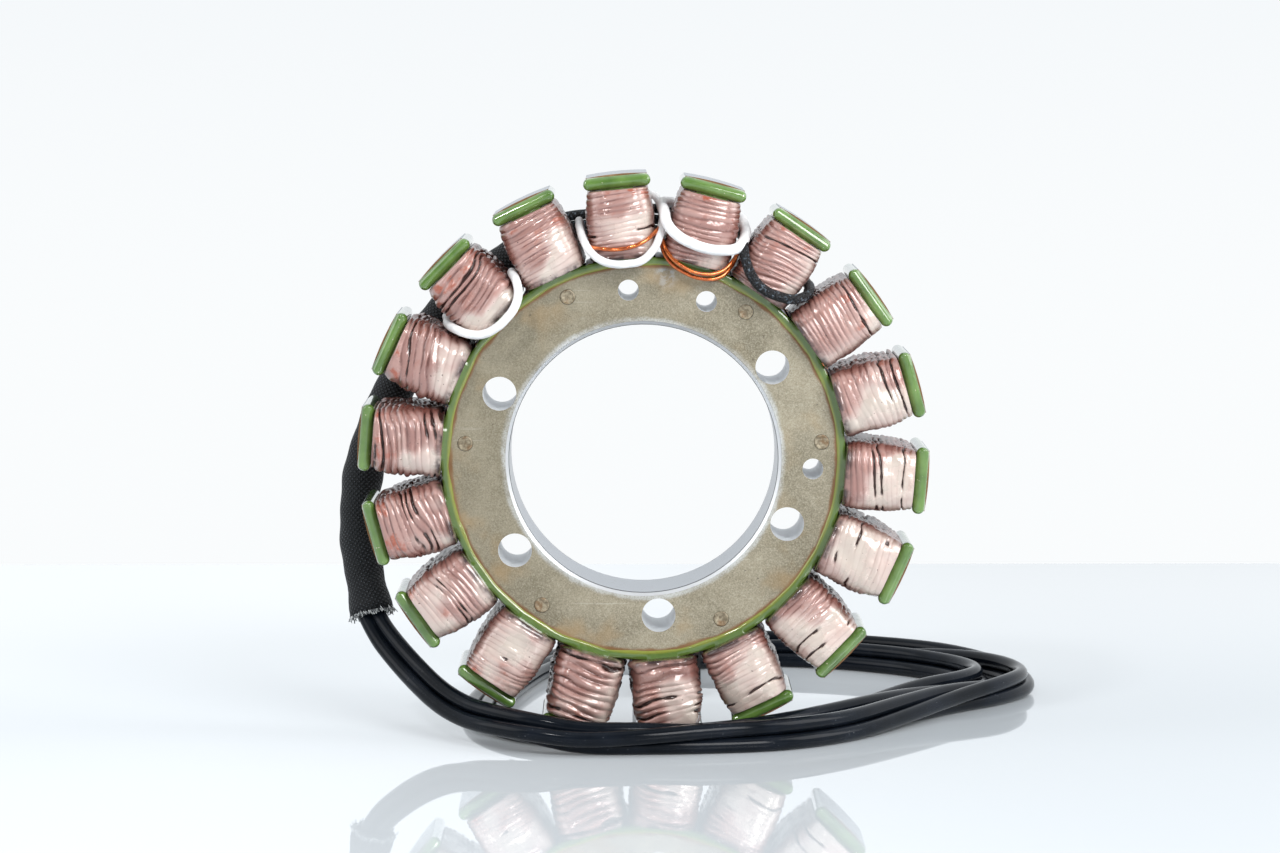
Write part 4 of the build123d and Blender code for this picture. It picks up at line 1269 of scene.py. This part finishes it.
def terminal_finish():
    """Tinned brass."""
    f = Finish("tinned_brass", (0.66, 0.56, 0.36), roughness=0.25, metallic=0.95)
    stain = f.noise(700.0, 4.0)
    f.set("Base Color", f.mix(stain.ramp(0.35, 0.7), f.colour, (0.42, 0.31, 0.16)))
    f.bump(stain, 0.15, 0.1 * MM)
    return f.material


CAMERA_PLACE = (-0.0053, -0.909, 0.0865)
CAMERA_DOWN = 5.076
CAMERA_ASIDE = -0.292
CAMERA_LENS = 123.05
TABLE_CORNERS = ((-2.5, -2.0), (2.5, -2.0), (2.5, 0.305), (-2.5, 0.29))
RAYS = ("Is Camera Ray", "Is Glossy Ray", "Is Transmission Ray")


def table_finish(settings):
    """Polished white table that glows faintly where it is seen, more so to the left."""
    f = Finish("polished_table", settings.floor_colour, specular_ior_level=0.5)
    across, away = f.parts(f.space, "XY")
    f.set("Base Color", f.layers(
        f.mix(f.noise(3.0, 3.0), darker(f.colour, 0.909, 0.921, 0.925), f.colour),
        (away.ramp(0.02, 0.27), (0.80, 0.82, 0.835))))
    f.set("Roughness", f.noise(14.0, 4.0).ramp(0.35, 0.7, 0.015, 0.04))
    camera_ray, glossy_ray = f.values("ShaderNodeLightPath", RAYS[:2])
    glow = f.math("MAXIMUM", camera_ray, glossy_ray) * settings.floor_glow
    f.set("Emission Color", (0.93, 0.97, 1.0, 1.0))
    f.set("Emission Strength", glow * across.ramp(-0.11, 0.12, 2.4, 0.1))
    return f.material


def make_surround(settings):
    """A white world, with a darker room in front of the object that the camera doesn't see."""
    world = bpy.data.worlds.new("white_surround")
    world.use_nodes = True
    bpy.context.scene.world = world
    background = world.node_tree.nodes["Background"]
    w = NodeTree(world.node_tree)
    camera_ray, glossy_ray, through_ray = w.values("ShaderNodeLightPath", RAYS)
    seen = w.math("MAXIMUM", w.math("MAXIMUM", camera_ray, glossy_ray), through_ray)
    w.link(seen.ramp(0.0, 1.0, settings.sky_level, 1.0, "LINEAR"), background.inputs["Strength"])
    away, up = w.parts(w.value("ShaderNodeTexCoord", output="Generated"), "YZ")
    tone = w.mix(up.ramp(-0.08, 0.12), (0.955, 0.975, 0.985), (0.86, 0.90, 0.935))
    room = away.ramp(-0.15, -0.65) * (1.0 - camera_ray) * up.ramp(0.10, 0.26)
    w.link(w.mix(room, tone, (0.16, 0.17, 0.18)), background.inputs["Color"])


def make_stage(settings):
    """The camera, the polished table, the white surround and the lamps."""
    scene = bpy.context.scene
    scene.view_settings.view_transform = "Standard"
    camera = linked("Camera", bpy.data.cameras.new("Camera"))
    camera.location = CAMERA_PLACE
    camera.rotation_euler = (math.radians(90 - CAMERA_DOWN), 0.0, math.radians(CAMERA_ASIDE))
    camera.data.lens = CAMERA_LENS
    camera.data.sensor_width = 36.0
    camera.data.clip_start = 0.01
    scene.camera = camera

    corners = [(x, y, FLOOR * MM) for x, y in TABLE_CORNERS]
    mesh_object("table", corners, [(0, 1, 2, 3)], table_finish(settings), smooth=False)
    make_surround(settings)

    lamps = [("key_lamp", (0.55, -1.0, 0.55), 0.6, settings.key_power),
             ("glint_lamp", (-0.45, -0.80, 0.75), 0.10, 0.22 * settings.key_power),
             ("left_lamp", (-1.0, -0.2, 0.5), 0.7, 0.65 * settings.side_power),
             ("right_lamp", (1.0, -0.1, 0.6), 0.7, 1.25 * settings.side_power)]
    for name, place, size, power in lamps:
        lamp = linked(name, bpy.data.lights.new(name, "AREA"))
        lamp.data.shape = "SQUARE"
        lamp.data.size = size
        lamp.data.energy = power
        lamp.location = place
        lamp.rotation_euler = (-Vector(place)).to_track_quat("-Z", "Y").to_euler()


class MakeStage(bpy.types.Operator):
    """Make the camera, the table, the surround and the lamps"""

    bl_idname = "stator.make_stage"
    bl_label = "Stage"

    def execute(self, context):
        make_stage(context.scene.stator_stage)
        return {"FINISHED"}


class MakeOutputWires(bpy.types.Operator):
    """Make the three output wires that lie in two turns on the table"""

    bl_idname = "stator.make_output_wires"
    bl_label = "Output wires"

    def execute(self, context):
        make_output_wires(context.scene.stator_harness)
        return {"FINISHED"}


class MakeCore(bpy.types.Operator):
    """Dress the laminated core and put in its rivets"""

    bl_idname = "stator.make_core"
    bl_label = "Core and rivets"

    def execute(self, context):
        make_core(context.scene.stator_core)
        return {"FINISHED"}


class MakeCoat(bpy.types.Operator):
    """Make the green paint on the rim, the teeth and the pole shoes"""

    bl_idname = "stator.make_coat"
    bl_label = "Green coat"

    def execute(self, context):
        make_coat(context.scene.stator_core)
        return {"FINISHED"}


class MakeCoils(bpy.types.Operator):
    """Wind the eighteen coils"""

    bl_idname = "stator.make_coils"
    bl_label = "Coils"

    def execute(self, context):
        make_coils(context.scene.stator_coils)
        return {"FINISHED"}


class MakeTies(bpy.types.Operator):
    """Make the lacing ties"""

    bl_idname = "stator.make_ties"
    bl_label = "Lacing ties"

    def execute(self, context):
        make_ties()
        return {"FINISHED"}


class MakeLeads(bpy.types.Operator):
    """Make the leads, the bare winding ends and the crossover wires"""

    bl_idname = "stator.make_leads"
    bl_label = "Leads and bare wires"

    def execute(self, context):
        make_leads()
        make_bright_wires()
        make_crossovers()
        return {"FINISHED"}


class MakeSleeve(bpy.types.Operator):
    """Make the woven sleeve and its frayed end"""

    bl_idname = "stator.make_sleeve"
    bl_label = "Harness sleeve"

    def execute(self, context):
        make_sleeve(context.scene.stator_harness)
        return {"FINISHED"}


class MakeConnector(bpy.types.Operator):
    """Dress the connector and its terminals"""

    bl_idname = "stator.make_connector"
    bl_label = "Connector"

    def execute(self, context):
        dress_node("connector_housing", housing_finish(context.scene.stator_harness))
        dress_node("connector_terminals", terminal_finish())
        return {"FINISHED"}


SETTINGS = {"stator_core": CoreSettings, "stator_coils": CoilSettings, "stator_harness": HarnessSettings,
            "stator_stage": StageSettings}
OPERATORS = (MakeStage, MakeOutputWires, MakeCore, MakeCoat, MakeCoils, MakeTies, MakeLeads, MakeSleeve,
             MakeConnector)


class StatorPanel(bpy.types.Panel):
    """Lists the settings and the pieces of the stator"""

    bl_idname = "VIEW3D_PT_stator"
    bl_label = "Stator"
    bl_space_type = "VIEW_3D"
    bl_region_type = "UI"
    bl_category = "Stator"

    def draw(self, context):
        for pointer in SETTINGS:
            group = getattr(context.scene, pointer)
            box = self.layout.box()
            for name in group.__annotations__:
                box.prop(group, name)
        for operator in OPERATORS:
            self.layout.operator(operator.bl_idname)


CLASSES = (*SETTINGS.values(), *OPERATORS, StatorPanel)


def register():
    for entry in CLASSES:
        bpy.utils.register_class(entry)
    for pointer, group in SETTINGS.items():
        setattr(bpy.types.Scene, pointer, PointerProperty(type=group))


def unregister():
    for pointer in SETTINGS:
        delattr(bpy.types.Scene, pointer)
    for entry in reversed(CLASSES):
        bpy.utils.unregister_class(entry)


def main():
    register()
    bpy.ops.stator.make_stage()
    bpy.ops.stator.make_output_wires()
    bpy.ops.stator.make_core()
    bpy.ops.stator.make_coat()
    bpy.ops.stator.make_coils()
    bpy.ops.stator.make_ties()
    bpy.ops.stator.make_leads()
    bpy.ops.stator.make_sleeve()
    bpy.ops.stator.make_connector()


if __name__ == "__main__":
    main()
